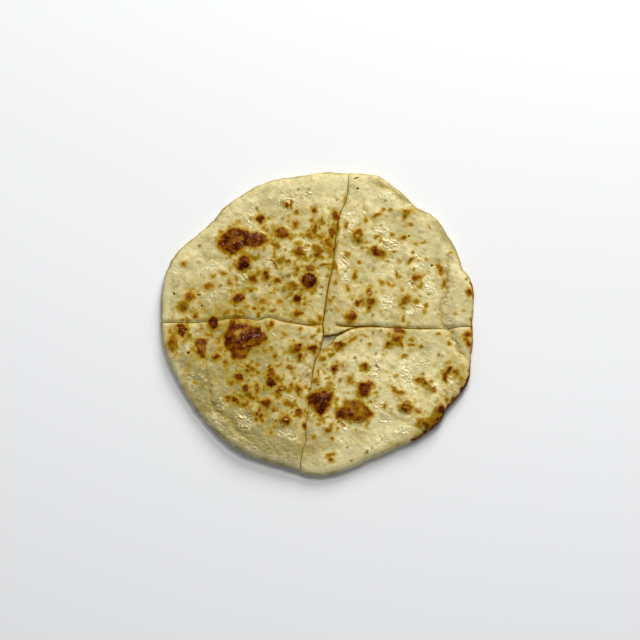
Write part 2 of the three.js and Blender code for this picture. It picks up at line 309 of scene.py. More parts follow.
# The ragged edge of the front right quarter's torn top layer, and what closes the bare patch behind it
tornRim = [
    (24, -1.5), (20.5, -4.6), (15.5, -7.4), (12.6, -9.3), (11, -11.3), (9.1, -13.6), (6.2, -15.8),
    (1.5, -17.8),
]
tornBack = [(-4, -19), (-3, -5), (8, -3)]
tornEdge = tornRim[2:]
tearGroove = [(13.2, -8.6), (12, -9.3), (10.5, -11.3), (8.6, -13.3), (5.8, -15.4), (2.6, -16.9)]
cutting = {
    "gap": 0.42,
    "rightGap": 0.5,
    "slitGap": 0.66,
    "slitDepth": 3.4,
    "grooveGap": 0.7,
    "grooveDepth": 4.3,
    "lipDepth": 0.85,       # how far the blade pressed the crust down beside the cut
    "lipWidth": 1.3,
    "tearDepth": 0.5,       # how far the crust sinks along the torn edge
    "tearWidth": 0.8,
    "tabLift": 0.35,        # how far the tab's edge stands up
    "tabLiftWidth": 1.2,
    "tearWander": 0.35,     # how far the torn edge strays from its line
    "wallRoughness": 0.09,
    "wallLevels": 15,       # rows of points up a cut face
    "bladeTop": 13,
    "bladeBottom": -1.5,
    "step": 0.6,
}
cutDistance = np.full(gridX.shape, 1e9)
for line in [*cutLines.values(), tabSlit]:
    cutDistance = np.minimum(cutDistance, distanceToLine(gridX, gridY, smoothLine(line, 4)))
tornDistance = distanceToLine(gridX, gridY, smoothLine(tornEdge, 2))

# Scorch marks on top, by quarter: X, Y, half length, half width, turn in degrees, and how dark, from
# 0.3 golden through 0.6 orange-brown and 0.8 brown to 1.0 nearly black
scorchMarks = {
    "backLeft": [
        (-44.5, 57.9, 3.2, 4.4, 0, 0.95), (-52, 48.4, 3.6, 2.2, 0, 0.92), (-36.5, 55.6, 4, 4, 0, 0.88),
        (-62, 53.5, 1.6, 2.6, 0, 0.82), (-53.5, 60, 5.5, 1.6, 8, 0.88), (-57, 50.5, 2.2, 3, 0, 0.95),
        (-36.5, 69.5, 2.8, 3.2, 0, 0.85), (-13, 73.5, 2, 2, 0, 0.7), (-14, 65.5, 2.5, 2.5, 0, 0.8),
        (-23, 59, 5.5, 3, -25, 0.85), (-34.5, 63, 1.5, 1.5, 0, 0.45), (-26, 51.5, 2.6, 2.4, 0, 0.65),
        (-11.5, 47.5, 2.8, 3.6, 0, 0.82), (-12.2, 52.3, 3, 1.6, 0, 0.58), (-1.3, 62.4, 4.6, 2.3, 80, 0.8),
        (-3.2, 68.3, 1.8, 1.4, 30, 0.5), (2.9, 67.4, 2.1, 3.8, 0, 0.58),
        (-5.1, 58.1, 3.6, 1.9, -40, 0.64), (7, 54.9, 2.8, 1.6, 20, 0.68), (9.9, 59.3, 5, 2.3, 85, 0.74),
        (-1.3, 74.5, 1.6, 2.2, 0, 0.75), (12.2, 71, 3.8, 1.9, 108, 0.84), (-46.5, 40, 4, 5.3, -15, 1.0),
        (-41, 29.5, 3.2, 3.2, 0, 0.85), (-33, 32, 2.6, 3.4, -10, 0.9), (-26, 28.5, 2.6, 2, 0, 0.8),
        (-23.5, 41.5, 4, 2.5, 20, 0.62), (-18.5, 41, 2.5, 1.8, 0, 0.64), (-27, 38.5, 2.8, 0.8, -50, 0.75),
        (-12.5, 35.5, 1.8, 2.6, 0, 0.7), (-4.8, 28.6, 5, 5.6, -10, 1.0), (-4.6, 35.6, 3.4, 2.4, 0, 0.82),
        (-16.5, 25.5, 4, 2.7, -20, 0.56), (-13.5, 16.5, 3.8, 2, 42, 0.95), (-11.5, 13, 1.8, 1.6, 0, 0.66),
        (-8, 12.5, 1.6, 2, 20, 0.68), (-13.5, 6, 3, 2.6, -15, 0.8), (-51, 16, 4.6, 3.2, 45, 0.88),
        (-70, 25, 4, 2, 15, 0.65), (-67, 31, 2.5, 1.4, 40, 0.45), (-59.5, 32.5, 2.6, 1.5, -25, 0.7),
        (-56.5, 27, 1.4, 2.5, 0, 0.7), (-86, 39, 1.9, 1.9, 0, 0.6), (-82, 17.5, 4.6, 3.6, 60, 0.68),
        (-85.5, 11.5, 4.4, 3.2, 60, 0.66), (-78, 5.5, 2.3, 2.4, 0, 0.7), (-40.5, 10, 1.3, 1.3, 0, 0.8),
        (-35.5, 14, 3.2, 2.4, 0, 0.6), (-34.5, 9, 1.8, 1.8, 0, 0.6), (-24, 14.5, 1.9, 1.9, 0, 0.62),
        (-28.5, 8, 1.6, 1.6, 0, 0.6), (-58.5, 7.5, 5, 1.5, 45, 0.5), (-37.5, 6, 1.3, 1.3, 0, 0.66),
        (-42.5, 21.5, 1.6, 1.6, 0, 0.65), (1.4, 48, 3.4, 3.8, 0, 0.62), (-2, 50.6, 1.8, 1.6, 0, 0.62),
        (7.8, 48.2, 2.8, 3.2, 0, 0.52), (0.3, 44.7, 2, 1.8, 0, 0.78), (2.9, 53.2, 1.3, 2, 0, 0.56),
        (4.8, 38.7, 4.4, 1, 18, 0.68), (2, 3.4, 1.6, 2, 0, 0.62), (-19.5, 78.2, 1.5, 1.6, 0, 0.82),
        (-16.6, 79, 0.9, 2.6, 10, 0.74), (-22, 79.2, 1.3, 1, 0, 0.5), (-9, 45.8, 1.9, 1.5, 0, 0.9),
        (-45.5, 10.7, 2.1, 2, 0, 0.68), (-30, 20.5, 2.1, 1.8, 0, 0.56), (-17, 1.2, 2.2, 1, 0, 0.5),
        (0.7, -1.3, 1.6, 2.4, 0, 0.46), (-4.9, 1.4, 1.2, 1.2, 0, 0.45), (13, 65, 6, 0.6, 83, 0.9),
        (11.5, 50, 5, 0.6, 86, 0.98),
    ],
    "backRight": [
        (11.8, 72, 3, 1.5, -50, 0.78), (18.7, 64.3, 1.5, 2.3, 0, 0.62), (26.5, 57.6, 3.9, 4.3, 0, 0.64),
        (27, 60.6, 2.2, 1.3, 0, 0.86), (26.8, 54.2, 2.4, 1.2, 0, 0.84), (38.7, 71.4, 3.4, 1.8, 40, 0.66),
        (42.6, 74.8, 1.8, 1.1, 20, 0.5), (47.2, 74.7, 1.3, 1.2, 0, 0.5), (31.5, 68.5, 1.5, 2.2, 30, 0.48),
        (58.4, 73.4, 4, 2, 0, 0.64), (56.6, 70.4, 1.6, 2.2, 0, 0.6), (56, 67, 5, 2.6, 0, 0.26),
        (60.8, 65.4, 1.4, 1.2, 0, 0.46), (56.1, 56.3, 1.9, 1.6, 0, 0.78), (48.6, 58.6, 1.6, 1.8, 0, 0.52),
        (38.8, 57.4, 2.8, 1, 0, 0.56), (41.4, 55.3, 0.8, 1.6, 0, 0.5), (19.6, 45.5, 2.4, 2.1, 0, 0.64),
        (29.5, 49.9, 1.2, 1.2, 0, 0.45), (27.2, 40.2, 1, 1, 0, 0.6), (49.8, 47.2, 2.5, 1, 0, 0.46),
        (24.2, 32.1, 3.9, 1.6, 80, 0.58), (12.1, 26.8, 1.5, 1.6, 0, 0.64), (20, 22.7, 1.6, 2.3, 0, 0.64),
        (60, 41.2, 3.4, 1.2, 42, 0.64), (70.8, 42.2, 1.8, 0.8, -30, 0.42),
        (79.9, 35.3, 4.9, 1.6, -68, 0.66), (82, 25.6, 3, 1.8, 90, 0.66), (51.3, 32.2, 1.1, 2.4, 0, 0.6),
        (53.4, 31.2, 0.9, 1, 0, 0.4), (41.3, 26.8, 2, 1.8, 0, 0.5), (46.6, 25.6, 1.2, 2.1, 20, 0.58),
        (48.6, 24.4, 1.1, 0.8, 0, 0.5), (64.3, 29.6, 3, 2.2, 20, 0.72), (66.6, 24.1, 1.9, 2.6, 0, 0.46),
        (62.6, 35.8, 1.2, 2, 0, 0.5), (33.8, 21, 1.8, 3.4, 0, 0.76), (34.7, 13.9, 2.9, 3.2, 0, 0.76),
        (33.6, 10.2, 1.6, 1.4, 0, 0.7), (37.5, 20.5, 3, 2.4, 0, 0.32), (26.9, 13.6, 2.8, 2.5, 10, 0.84),
        (22.3, 3.4, 3.7, 3.8, 0, 0.8), (57.4, 16.2, 3.2, 3.6, -30, 0.62), (54, 12.2, 2.4, 1.6, 30, 0.55),
        (56, 9.6, 1.5, 1.2, 0, 0.5), (63.9, 14.7, 2, 1.8, 0, 0.6), (70.2, 11.6, 1.6, 1.8, 0, 0.6),
        (69.2, 7.8, 1.7, 1.9, 0, 0.42), (55.4, 2.2, 1.3, 2.3, 0, 0.66), (97.9, 20.5, 1.9, 2.2, 0, 0.84),
        (8.4, 14.6, 2.2, 1.9, 0, 0.56), (10.6, 16.8, 1.5, 1.2, 0, 0.52), (12.6, 37.6, 4.6, 1.3, 95, 0.58),
        (64, 52.3, 2.2, 1.4, 0, 0.36), (69, 53, 2.6, 1.2, 15, 0.36), (73, 63, 2.4, 1.4, -55, 0.3),
        (86.5, 46.5, 1.2, 0.9, 0, 0.45), (62, 46.6, 1, 0.9, 0, 0.5), (94.5, 8, 1.4, 0.9, 0, 0.36),
        (89, 6, 1.2, 0.9, 0, 0.34),
    ],
    "frontLeft": [
        (-87.5, -4, 3.5, 4.8, 10, 0.95), (-92, -13, 5.6, 3.8, 95, 0.64), (-91, -21, 3.6, 2.2, 90, 0.32),
        (-94.4, -5.5, 1.5, 3.2, 0, 0.42), (-66.5, 0, 3.9, 4, 0, 1.0), (-51.5, 3.5, 4, 2.4, 0, 0.6),
        (-74.4, -11.5, 3.4, 2, 0, 0.78), (-74.8, -18.5, 2.4, 3, 0, 0.84), (-73.6, -22, 2, 1.6, 0, 0.8),
        (-64, -22, 2.6, 2, 15, 0.94), (-59, -25.5, 2, 1.5, 0, 0.65), (-67.5, -8, 1.6, 1.3, 0, 0.45),
        (-78, -39.5, 1.6, 1.3, 0, 0.5), (-54.5, -39, 1.6, 1.3, 0, 0.6), (-53.7, -0.4, 2.8, 3, 0, 0.9),
        (-56.8, -6, 1.7, 4, -10, 0.88), (-57, -13.6, 3.2, 3.8, 0, 1.0), (-51.7, -21.6, 4, 2.2, -10, 0.9),
        (-50.6, -16.6, 4, 2.6, 20, 0.84), (-44.5, -9.4, 8, 3.4, 28, 1.0),
        (-37.5, -5.5, 3.5, 2.6, -20, 0.9), (-33.8, -9.8, 2.2, 2.8, 0, 0.86), (-29, -1, 2.2, 2.2, 0, 0.75),
        (-21, -7, 2.4, 1.8, 0, 0.5), (-10.5, -3.5, 1.9, 1.3, 0, 0.5), (-27, -21.5, 1.9, 2.6, 20, 0.75),
        (-12.6, -16.6, 3.6, 3, 0, 0.9), (-11, -21.5, 1.6, 2.6, 0, 0.8), (-3.6, -16.6, 3.8, 2.7, 0, 0.86),
        (-18, -28.5, 1.6, 1.6, 0, 0.8), (-16, -32, 2, 1.4, 0, 0.45), (-46, -43, 2.2, 2.6, 0, 0.85),
        (-43.5, -47, 2.6, 1.8, -40, 0.66), (-40.5, -49, 2, 1.6, 30, 0.7),
        (-38.5, -44.5, 2.8, 1.3, 70, 0.66), (-38.5, -40.5, 1.3, 1.8, 0, 0.74),
        (-41.5, -29.5, 3, 3, 0, 0.66), (-44, -28.5, 1.2, 1.2, 0, 0.9), (-44.5, -31, 1.2, 1.2, 0, 0.9),
        (-38, -32, 2, 1.2, -40, 0.66), (-49.5, -35.5, 3.2, 3.2, 0, 0.95), (-28.5, -33, 3, 4.5, 0, 0.84),
        (-29.3, -38.4, 3.2, 3.4, 0, 1.0), (-25.7, -36, 1.8, 3, 0, 0.66), (-57, -48.5, 2.4, 2.2, 0, 0.76),
        (-52.5, -49.5, 2.4, 1.8, -20, 0.86), (-50.5, -52, 2, 1.3, -45, 0.76), (-47, -53.5, 2, 2, 0, 0.66),
        (-44.8, -52.5, 1, 1.6, 0, 0.85), (-33, -52, 3.4, 2.9, 0, 0.86), (-18.5, -43.5, 1.8, 2, 0, 0.55),
        (-25.5, -45, 2, 2, 0, 0.75), (-23.6, -46.8, 1, 1.6, 0, 0.6), (-16.5, -40, 1.6, 1.2, 0, 0.8),
        (-19, -51.5, 3, 1.8, -25, 0.72), (-15.8, -54, 1.4, 1.6, 0, 0.68),
        (-11.5, -58, 2.4, 2.8, 20, 0.86), (-38.3, -59.5, 1.8, 1.8, 0, 0.9),
        (-36.5, -61, 1.6, 1.6, 0, 0.94), (-36.7, -57, 1.4, 1.6, 0, 0.75),
        (-38.8, -62.6, 1.2, 1.2, 0, 0.8), (-34.8, -63.2, 1, 1, 0, 0.74), (-28, -57, 1.2, 1.7, 0, 0.7),
        (-7.8, -67, 1.1, 2.2, 10, 0.86), (-29.5, -71, 1.2, 1.4, 0, 0.72), (-2, -74, 1.3, 1.3, 0, 0.5),
        (-21.9, -42.7, 2.9, 2.4, 0, 0.86), (-11.1, -43.2, 2.2, 3.1, 0, 0.86),
        (-19.9, -63.1, 3.3, 2.8, 0, 0.88), (1.1, -5.1, 1.5, 1.5, 0, 0.62),
        (-2.1, -8.6, 2.2, 0.7, 20, 0.5), (2.2, -13.2, 0.8, 0.8, 0, 0.6),
    ],
    "frontRight": [
        (2.5, -51.5, 5.2, 5.6, 0, 1.0), (3, -57, 3, 2.6, 0, 0.96), (14.6, -59.8, 3, 3, 0, 0.92),
        (26, -62.6, 3.4, 2.4, 0, 0.8), (19.5, -59, 5, 3.4, -20, 0.86), (18.8, -57, 4.4, 2.4, 0, 0.8),
        (24, -53, 3, 3, 0, 0.74), (9, -66.5, 4.6, 1.3, 52, 0.46), (7.3, -70.2, 1.9, 1.6, 0, 0.72),
        (9.5, -75, 1.2, 1.2, 0, 0.6), (31.5, -42, 4.2, 4, 0, 0.9), (30, -46, 4.4, 2.8, 0, 0.8),
        (34, -39.5, 2.4, 2.4, 0, 0.8), (31.2, -28, 2.5, 2.9, 0, 0.92), (10.4, -30.4, 2.2, 3.2, -10, 0.86),
        (20.5, -37, 2.1, 2.6, -10, 0.66), (3.3, -23, 2.7, 2.5, 0, 0.6), (9.7, -20.8, 2.3, 1.4, 25, 0.6),
        (14, -14.2, 3.6, 2.8, 10, 0.78), (22.3, -10.9, 3.6, 1.9, 40, 0.62), (18, -14, 2.8, 1.4, 20, 0.62),
        (12.8, -17.6, 1.6, 1.4, 0, 0.58), (52.5, -3.8, 4.4, 2.2, -10, 0.76),
        (55, -5.5, 1.8, 1.6, 0, 0.86), (50.5, -11.2, 4, 3, 0, 0.76), (46, -13.5, 3.4, 2, 20, 0.73),
        (54.3, -14, 1.5, 2.6, 15, 0.76), (46.5, -7.5, 1.2, 2.4, 0, 0.56), (54.5, -9, 1.8, 1.8, 0, 0.66),
        (60.2, -10.9, 2.2, 1.1, -10, 0.52), (60.6, -14.2, 2.4, 1.2, 5, 0.62),
        (67, -15.5, 1.2, 1.3, 0, 0.6), (56, -21, 2.2, 1.2, 20, 0.55), (66, -3.5, 2.6, 1, 0, 0.45),
        (77.5, -7, 2, 1.2, 0, 0.5), (85, -13, 1.1, 1.4, 0, 0.6), (96.8, -8, 3.2, 1.8, 10, 0.94),
        (95.5, -11, 1.6, 2, 0, 0.6), (97.5, -14, 1.7, 2.6, 10, 0.82), (84.8, -30.5, 3.4, 2.1, 62, 0.84),
        (82.2, -35, 3.8, 2, 85, 0.84), (84.6, -26.6, 3, 2, 0, 0.4), (89.4, -32, 2, 1.8, 0, 0.76),
        (92, -36.5, 3.2, 1.8, -60, 0.45), (69.3, -39.3, 2, 1.6, -20, 0.86), (73, -38.3, 1.8, 1.4, 0, 0.6),
        (82.3, -38.8, 1.5, 2.6, 0, 0.4), (83, -50.2, 1, 1.9, 10, 0.6), (51.3, -45.2, 5.6, 1.7, -30, 0.68),
        (51, -9, 4.8, 5.4, 0, 0.34), (66, -36.9, 2.9, 2.3, -20, 0.78), (70.6, -39.6, 2.2, 1.1, -40, 0.46),
        (74, -43, 3.2, 1.9, -45, 0.8), (43.5, -54.2, 1.6, 2, 0, 0.66), (57.5, -55, 4.4, 3, -15, 0.86),
        (57, -52.2, 3.6, 1.8, 0, 0.6), (64, -57.5, 3.4, 1.4, -25, 0.7), (79.6, -57, 2.4, 3.2, 0, 0.95),
        (87, -49.5, 2.8, 2, 45, 0.7), (69.2, -65.7, 3.4, 2.8, 0, 0.76), (77.2, -62.8, 2.4, 2.2, 50, 0.84),
        (66.5, -69.4, 3, 1.6, 35, 0.5), (92, -40, 5, 2.4, 70, 0.28), (8, -85.7, 2.6, 1.2, 20, 0.7),
        (8.4, -89, 1.6, 1.5, 0, 0.76), (-1.4, -37.5, 1.6, 3, 10, 0.62), (6.8, -36, 2.8, 1, 15, 0.45),
        (34, -13.7, 1.4, 1.5, 0, 0.45), (30, -7.6, 3.4, 0.9, 0, 0.44), (51, -34.4, 2, 1.4, 0, 0.4),
        (16.7, -28, 1, 2, -15, 0.42), (0.6, -31.7, 0.9, 2, 0, 0.5), (-2, -38.5, 1.3, 1.6, 0, 0.5),
    ],
}
# Larger scorches, each with how dark and its outline
scorchShapes = [
    (0.86, [(-64.9, 54.2), (-62.9, 57.6), (-58.3, 60.3), (-56.3, 63.4), (-51.1, 62.8), (-46.5, 62),
            (-43.2, 60.3), (-38, 60.3), (-35.4, 56.9), (-29.8, 55.9), (-32.7, 52.9), (-36, 49.5),
            (-40.6, 49.2), (-45.2, 50.2), (-48.5, 48.2), (-52.4, 45.5), (-55.7, 44.3), (-58.3, 46.2),
            (-62.2, 48.2), (-64.2, 50.9)]),
    (0.8, [(-56.3, 3.2), (-51.1, 3.6), (-41.9, -0.8), (-36, -3.1), (-31.4, -8.1), (-32.7, -11.8),
            (-38, -15.5), (-43.2, -17.9), (-44.2, -21.6), (-47.2, -24.2), (-52.1, -23.7), (-55.7, -20.2),
            (-59, -16.9), (-60.4, -12.8), (-59, -6.8), (-57.7, -1.4)]),
    (0.94, [(-6.9, -48.4), (-4.3, -46.3), (-1.3, -44.4), (3.8, -43.3), (10.5, -45.4), (10.5, -49.3),
            (8.6, -53.8), (5.7, -57.6), (2.4, -61), (-0.6, -58.4), (-3.5, -54.2), (-6.1, -52.3)]),
    (0.68, [(17.5, -49.3), (20.8, -50.8), (24.5, -48.4), (27.5, -50.1), (30.4, -52.3), (36.3, -59.1),
            (33.4, -62.9), (28.9, -65.9), (23.8, -65.5), (21.5, -63.6), (13.4, -63.6), (12.1, -60.6),
            (13.4, -56.1), (16.4, -54.2)]),
    (0.48, [(76.5, -53.3), (80.5, -53.9), (81.7, -57.5), (79.4, -64.6), (74.7, -68.2), (69.4, -72.7),
            (62.4, -77.2), (61.8, -73.6), (65.3, -66.4), (65.9, -62.8), (70, -62.2), (73.5, -58.6),
            (75.3, -55.1)]),
    (0.74, [(-79, -11.5), (-75.4, -9.2), (-69.5, -9.8), (-70.1, -14.9), (-71.1, -18.2), (-71.4, -22.9),
            (-74.7, -23.9), (-76.7, -20.9), (-78, -16.9)]),
    (0.8, [(33.4, 48.9), (35.4, 50.9), (38.3, 51.9), (39.7, 48.9), (43.9, 47.5), (44.2, 44.2),
           (42.6, 42.8), (38.7, 43.5), (36, 44.9)]),
]
# Pale islands inside the scorches, some of them painted highlights where glints lie on the marks: X, Y,
# half length, half width, turn, how pale
paleSpotsAndHighlights = [
    (-48.5, 0.6, 3.4, 2.6, 0, 0.35), (-50.8, -6, 2.4, 1.9, 20, 0.5), (-45.8, -14.6, 3.2, 1.3, 20, 0.35),
    (-19.9, -63.1, 1.3, 0.4, 0, 0.9), (-22.2, -42.6, 1, 0.7, 0, 0.85), (-11, -44.4, 0.7, 0.9, 0, 0.7),
    (-45.3, 10.4, 0.8, 0.7, 0, 0.4), (-30, 21.2, 1, 0.9, 0, 0.8), (-8.6, 46.2, 0.7, 0.6, 0, 0.6),
    (26.2, 57.4, 1.3, 0.9, 0, 0.6), (19.9, 45.4, 0.7, 0.6, 0, 0.6), (-18.2, 79.4, 0.6, 1.6, 10, 0.6),
    (50.5, -7.6, 2.6, 1.3, 0, 0.7), (-50, 56.5, 3, 0.7, 20, 0.3), (-55, 54, 2.4, 0.6, -20, 0.3),
    (-44.5, 54.2, 1.4, 1, 0, 0.3), (28, -56.5, 2.4, 1, 40, 0.2), (66.4, -37.2, 0.8, 0.6, 0, 0.5),
    (67, -69.6, 2.8, 1.5, 35, 0.5), (64, -72.5, 2, 1.4, 35, 0.35), (57, -55.2, 2.2, 0.7, -10, 0.4),
    (73.4, -42.6, 1, 0.5, -45, 0.5),
]
# Small olive-brown dots: X, Y, radius
oliveDots = [
    (-22.5, 69, 0.9), (13, 81.5, 1.0), (-12, 88.5, 0.9), (-5.5, 88.5, 0.9), (7, 31, 1.2), (-76, 51, 1.1),
    (3, 24, 1.0), (2.5, 19, 0.8), (5.3, 8, 1.1), (-18, 31, 1.3), (-21, 21.5, 1.0), (-31, 25, 0.8),
    (62, 47, 0.9), (96, 29, 0.9), (35.7, 4.7, 1.0), (9.3, 8.6, 0.9), (-82, -8, 1.3), (-44, -38, 1.2),
    (-16, -58.2, 0.9), (-21.3, -67.6, 0.7), (-27, -67.6, 0.8), (19.5, -81, 0.9), (32, -84, 1.1),
    (22, -89.5, 0.7), (35, -81.5, 0.7), (24.4, -22.7, 1.1), (38, -19.7, 0.9), (28.4, -11.3, 0.9),
    (36, -6.6, 0.9), (14.7, -37, 1.0), (0.6, -40, 0.9), (-6, -29.8, 0.8), (-6.4, -34, 0.8),
    (38.3, -28.3, 1.1), (41, -4.9, 1.0), (78, -20.3, 1.2), (68.2, -33, 1.1), (6.5, -29.8, 0.6),
    (-62, 24.6, 1.1), (-39, 76, 0.9), (44, 81, 0.8), (72, 19, 0.9), (46, 41, 0.9), (28, 27, 0.9),
]
# Golden stains where fat has run, with soft edges, and one stretch of painted shade along the back cut:
# X, Y, half length, half width, turn, strength
stainsAndShade = [
    (-62, 10, 8, 5, 20, 0.14), (-53, 17, 5, 3, 60, 0.16), (-38, 12, 4, 4, 0, 0.18),
    (-46, 9, 6, 4, 0, 0.16), (-44, 27.5, 5, 2.5, 20, 0.18), (-24, 40.5, 6, 2.4, 0, 0.22),
    (-11, 37, 4, 2, 0, 0.22), (-42, 57, 4, 3, 0, 0.14), (-36, 52, 3, 2, 0, 0.16), (1, 67, 3, 4, 0, 0.2),
    (8, 52, 4, 9, 0, 0.32), (9.5, 37.5, 4, 4, 0, 0.32), (3, 57, 5, 6, 0, 0.2), (-13, 51, 4, 3, 0, 0.16),
    (-19, 80, 4, 1.6, -40, 0.14), (-88.5, 10.5, 4, 3.4, 0, 0.24), (-81, 19, 3, 2, 0, 0.12),
    (-22, 6, 8, 4, 0, 0.12), (-8, 14, 10, 4, 0, 0.1), (-1, -1, 4, 3.4, 0, 0.28),
    # the first on the next line lies along the back cut and is painted shade in its groove
    (18.5, 82, 1.8, 6, -10, 0.2), (39, 71.5, 5, 3, 20, 0.16), (57.5, 73, 4.5, 4, 0, 0.18),
    (57, 63, 4.5, 8, -10, 0.12), (29, 57, 5, 3, 0, 0.12), (60, 40, 5, 3, 40, 0.16),
    (78.5, 36, 3, 6, 10, 0.15), (82, 25, 2.2, 7, 0, 0.22), (65, 28, 5, 6, 0, 0.12),
    (36, 24.5, 5, 2.6, 0, 0.24), (43, 25.5, 4, 2.6, 20, 0.18), (54.5, 22, 2.4, 3, 0, 0.2),
    (31, 13, 5, 3, -30, 0.2), (22, 1, 5, 2.4, 0, 0.26), (57, 15.5, 4, 3.4, 0, 0.18),
    (69, 8, 5, 4, 0, 0.14), (9, 16, 3, 5, 60, 0.18), (24, 33, 3, 8, 0, 0.14), (50, -8.5, 7, 4.6, 30, 0.3),
    (58, -14, 5, 3, 0, 0.16), (20, -10, 8, 2.6, 30, 0.2), (30, -5, 8, 2, 10, 0.12),
    (84, -10, 4, 5, 0, 0.14), (97, -9, 2.4, 5, 0, 0.24), (85, -32, 4, 5, 40, 0.2),
    (93, -30, 3.6, 10, 0, 0.13), (91, -22, 6, 4, 0, 0.14), (52, -46, 6, 2.6, -15, 0.22),
    (33, -45, 4, 3.4, 0, 0.22), (23, -54, 7, 4, 0, 0.22), (10, -67, 3, 6, -40, 0.24),
    (78, -57, 4, 4, 45, 0.3), (67, -65, 6, 4, 35, 0.3), (60, -49, 5, 3, -45, 0.12),
    (3, -47, 6, 3, 0, 0.14), (2, -20, 3, 4, 0, 0.18), (-48, 1, 7, 3.2, 0, 0.32), (-91, -8, 3, 8, 0, 0.26),
    (-75, -14, 3.4, 5, 0, 0.2), (-82, -29, 3, 5, -20, 0.16), (-17, -19, 8, 2.4, 15, 0.22),
    (-5, -15, 4.4, 2, 10, 0.18), (-45, -20, 8, 3.4, 0, 0.18), (-18, -42, 8, 4, 0, 0.22),
    (-16, -51, 6, 4, 0, 0.16), (-17, -61, 4, 4, 0, 0.14), (-43, -48, 4, 5, 0, 0.14),
    (-36, -58, 3.4, 4, 0, 0.12), (-9, -76, 2, 9, 5, 0.14), (-34, -13, 5, 5, 0, 0.16),
    (-24, -5, 6, 3, 0, 0.12), (-3, -35, 3, 5, 0, 0.16), (34, -88, 16, 3.4, 18, 0.08),
    (50, -80, 12, 5, 27, 0.13),
]
freckles = {"count": 900, "radius": (0.6, 1.7), "strength": (0.15, 0.5), "seed": 11}
scorching = {
    "haloStrength": 0.34,       # of the golden ring round a mark, as a share of how dark the mark is
    "haloReach": 1.1,
    "shapeHaloStrength": 0.36,
    "shapeHaloReach": 1.8,
    "stainStrength": 1.5,
    "dotStrength": 0.95,
    "toastingSpread": 6,        # golden toasting where the marks lie close
    "toastingFullAt": 0.26,
    "toasting": 0.38,
}


def paintMarks(field, marks):
    for x, y, length, width, turn, dark in marks:
        size = math.sqrt(length * width)
        here = around(x, y, max(length, width) + 6)
        outside = markDistance(here, x, y, length, width, turn)
        burnt = dark * (0.88 + (0.12 + 0.05 * min(size, 5)) * (uneven[here] - 0.5))
        soft = 1.5 - dark
        core = min(0.7 + 1.6 * soft, 0.85 * size)
        halo = hump(np.maximum(0, outside), scorching["haloReach"] + 0.3 * size)
        paint(field, here, burnt * (1 - smoothStep(-core, 0.7 + 0.7 * soft, outside)))
        paint(field, here, scorching["haloStrength"] * dark * halo)


def paintShapes(field):
    for dark, outline in scorchShapes:
        middle = np.mean(outline, axis=0)
        here = around(*middle, 8 + np.max(np.abs(np.array(outline) - middle)))
        x, y = gridX[here] + 0.5 * warpX[here], gridY[here] + 0.5 * warpY[here]
        outside = outlineDistance(x, y, outline) + raggedness[here]
        burnt = dark * (0.7 + 0.38 * uneven[here])
        halo = hump(np.maximum(0, outside), scorching["shapeHaloReach"])
        paint(field, here, burnt * (1 - smoothStep(-1.5, 0.9, outside)))
        paint(field, here, scorching["shapeHaloStrength"] * dark * halo)


def spotShape(here, x, y, length, width, turn, fadeFrom, fadeTo):
    # 1 inside a mark and 0 outside it, fading between two distances from its edge
    return 1 - smoothStep(fadeFrom, fadeTo, markDistance(here, x, y, length, width, turn))


# Where the crust is scorched, from 0 to 1
allMarks = [mark for quarter in scorchMarks.values() for mark in quarter]
scorchField = np.zeros_like(gridX)
paintMarks(scorchField, allMarks)
paintShapes(scorchField)
for x, y, length, width, turn, pale in paleSpotsAndHighlights:
    spot = around(x, y, length + 4)
    scorchField[spot] *= 1 - pale * spotShape(spot, x, y, length, width, turn, -0.8, 0.8)

# Golden toasting between the marks, with small freckles and stains in it
warmth = np.clip(blurred(scorchField, scorching["toastingSpread"]) / scorching["toastingFullAt"], 0, 1)
for x, y, radius, strength in scatter(freckles, 12):
    spot = around(x, y, radius + 3)
    golden = strength * (0.35 + 0.65 * warmth[spot])
    paint(scorchField, spot, golden * spotShape(spot, x, y, radius, radius, 0, -0.8, 0.9))
for x, y, length, width, turn, strength in stainsAndShade:
    spot = around(x, y, 2.2 * max(length, width) + 3)
    along, across = turnedInto(gridX[spot] + warpX[spot] - x, gridY[spot] + warpY[spot] - y, turn)
    stain = hump(np.hypot(along / length, across / width), 1)
    paint(scorchField, spot, scorching["stainStrength"] * strength * stain * (0.6 + 0.7 * uneven[spot]))
patchy = np.clip(0.3 + layeredNoise(gridX, gridY, (1.2, 5, 57), (0.6, 2.2, 58)), 0, 1.3)
scorchField = np.maximum(scorchField, scorching["toasting"] * warmth * patchy)

freckleField = np.zeros_like(gridX)
for x, y, radius in oliveDots:
    spot = around(x, y, radius + 3)
    dot = spotShape(spot, x, y, radius, radius, 0, -0.6, 0.7)
    paint(freckleField, spot, scorching["dotStrength"] * dot)
print("scorch marks painted:", len(allMarks), "and", len(scorchShapes), "large ones")

# Puffed stretches of the rim: middle and half width in degrees, and rise
rimPuffs = [
    (350, 26, 1.3), (316, 20, 1.0), (262, 22, 0.9), (222, 34, 1.4), (168, 22, 0.8), (100, 40, 0.8),
    (38, 26, 0.9),
]
# Long soft swells: wave length, direction in degrees, phase, height
swells = [
    (92, 24, 0.6, 0.35), (61, 105, 2.1, 0.3), (43, 62, 4.0, 0.25), (31, 148, 1.2, 0.22),
    (24, 12, 3.3, 0.18),
]
# Creases: depth, width and line
creases = [
    (1.0, 3.2, [(77, 39), (82, 32), (82, 23), (81, 12.5), (78, 7), (82, 1), (85.5, -6), (88.5, -14),
                (91.5, -18.5), (97, -23)]),
    (0.9, 4.0, [(-83.5, -29.5), (-78.5, -37.5), (-69, -47), (-67, -54), (-64, -60), (-56, -66),
                (-50, -72), (-39, -76)]),
    (0.5, 4.0, [(8, -77), (31, -74), (53, -64)]),
    (0.4, 2.2, [(50, 84), (62, 78), (73, 71)]),
]
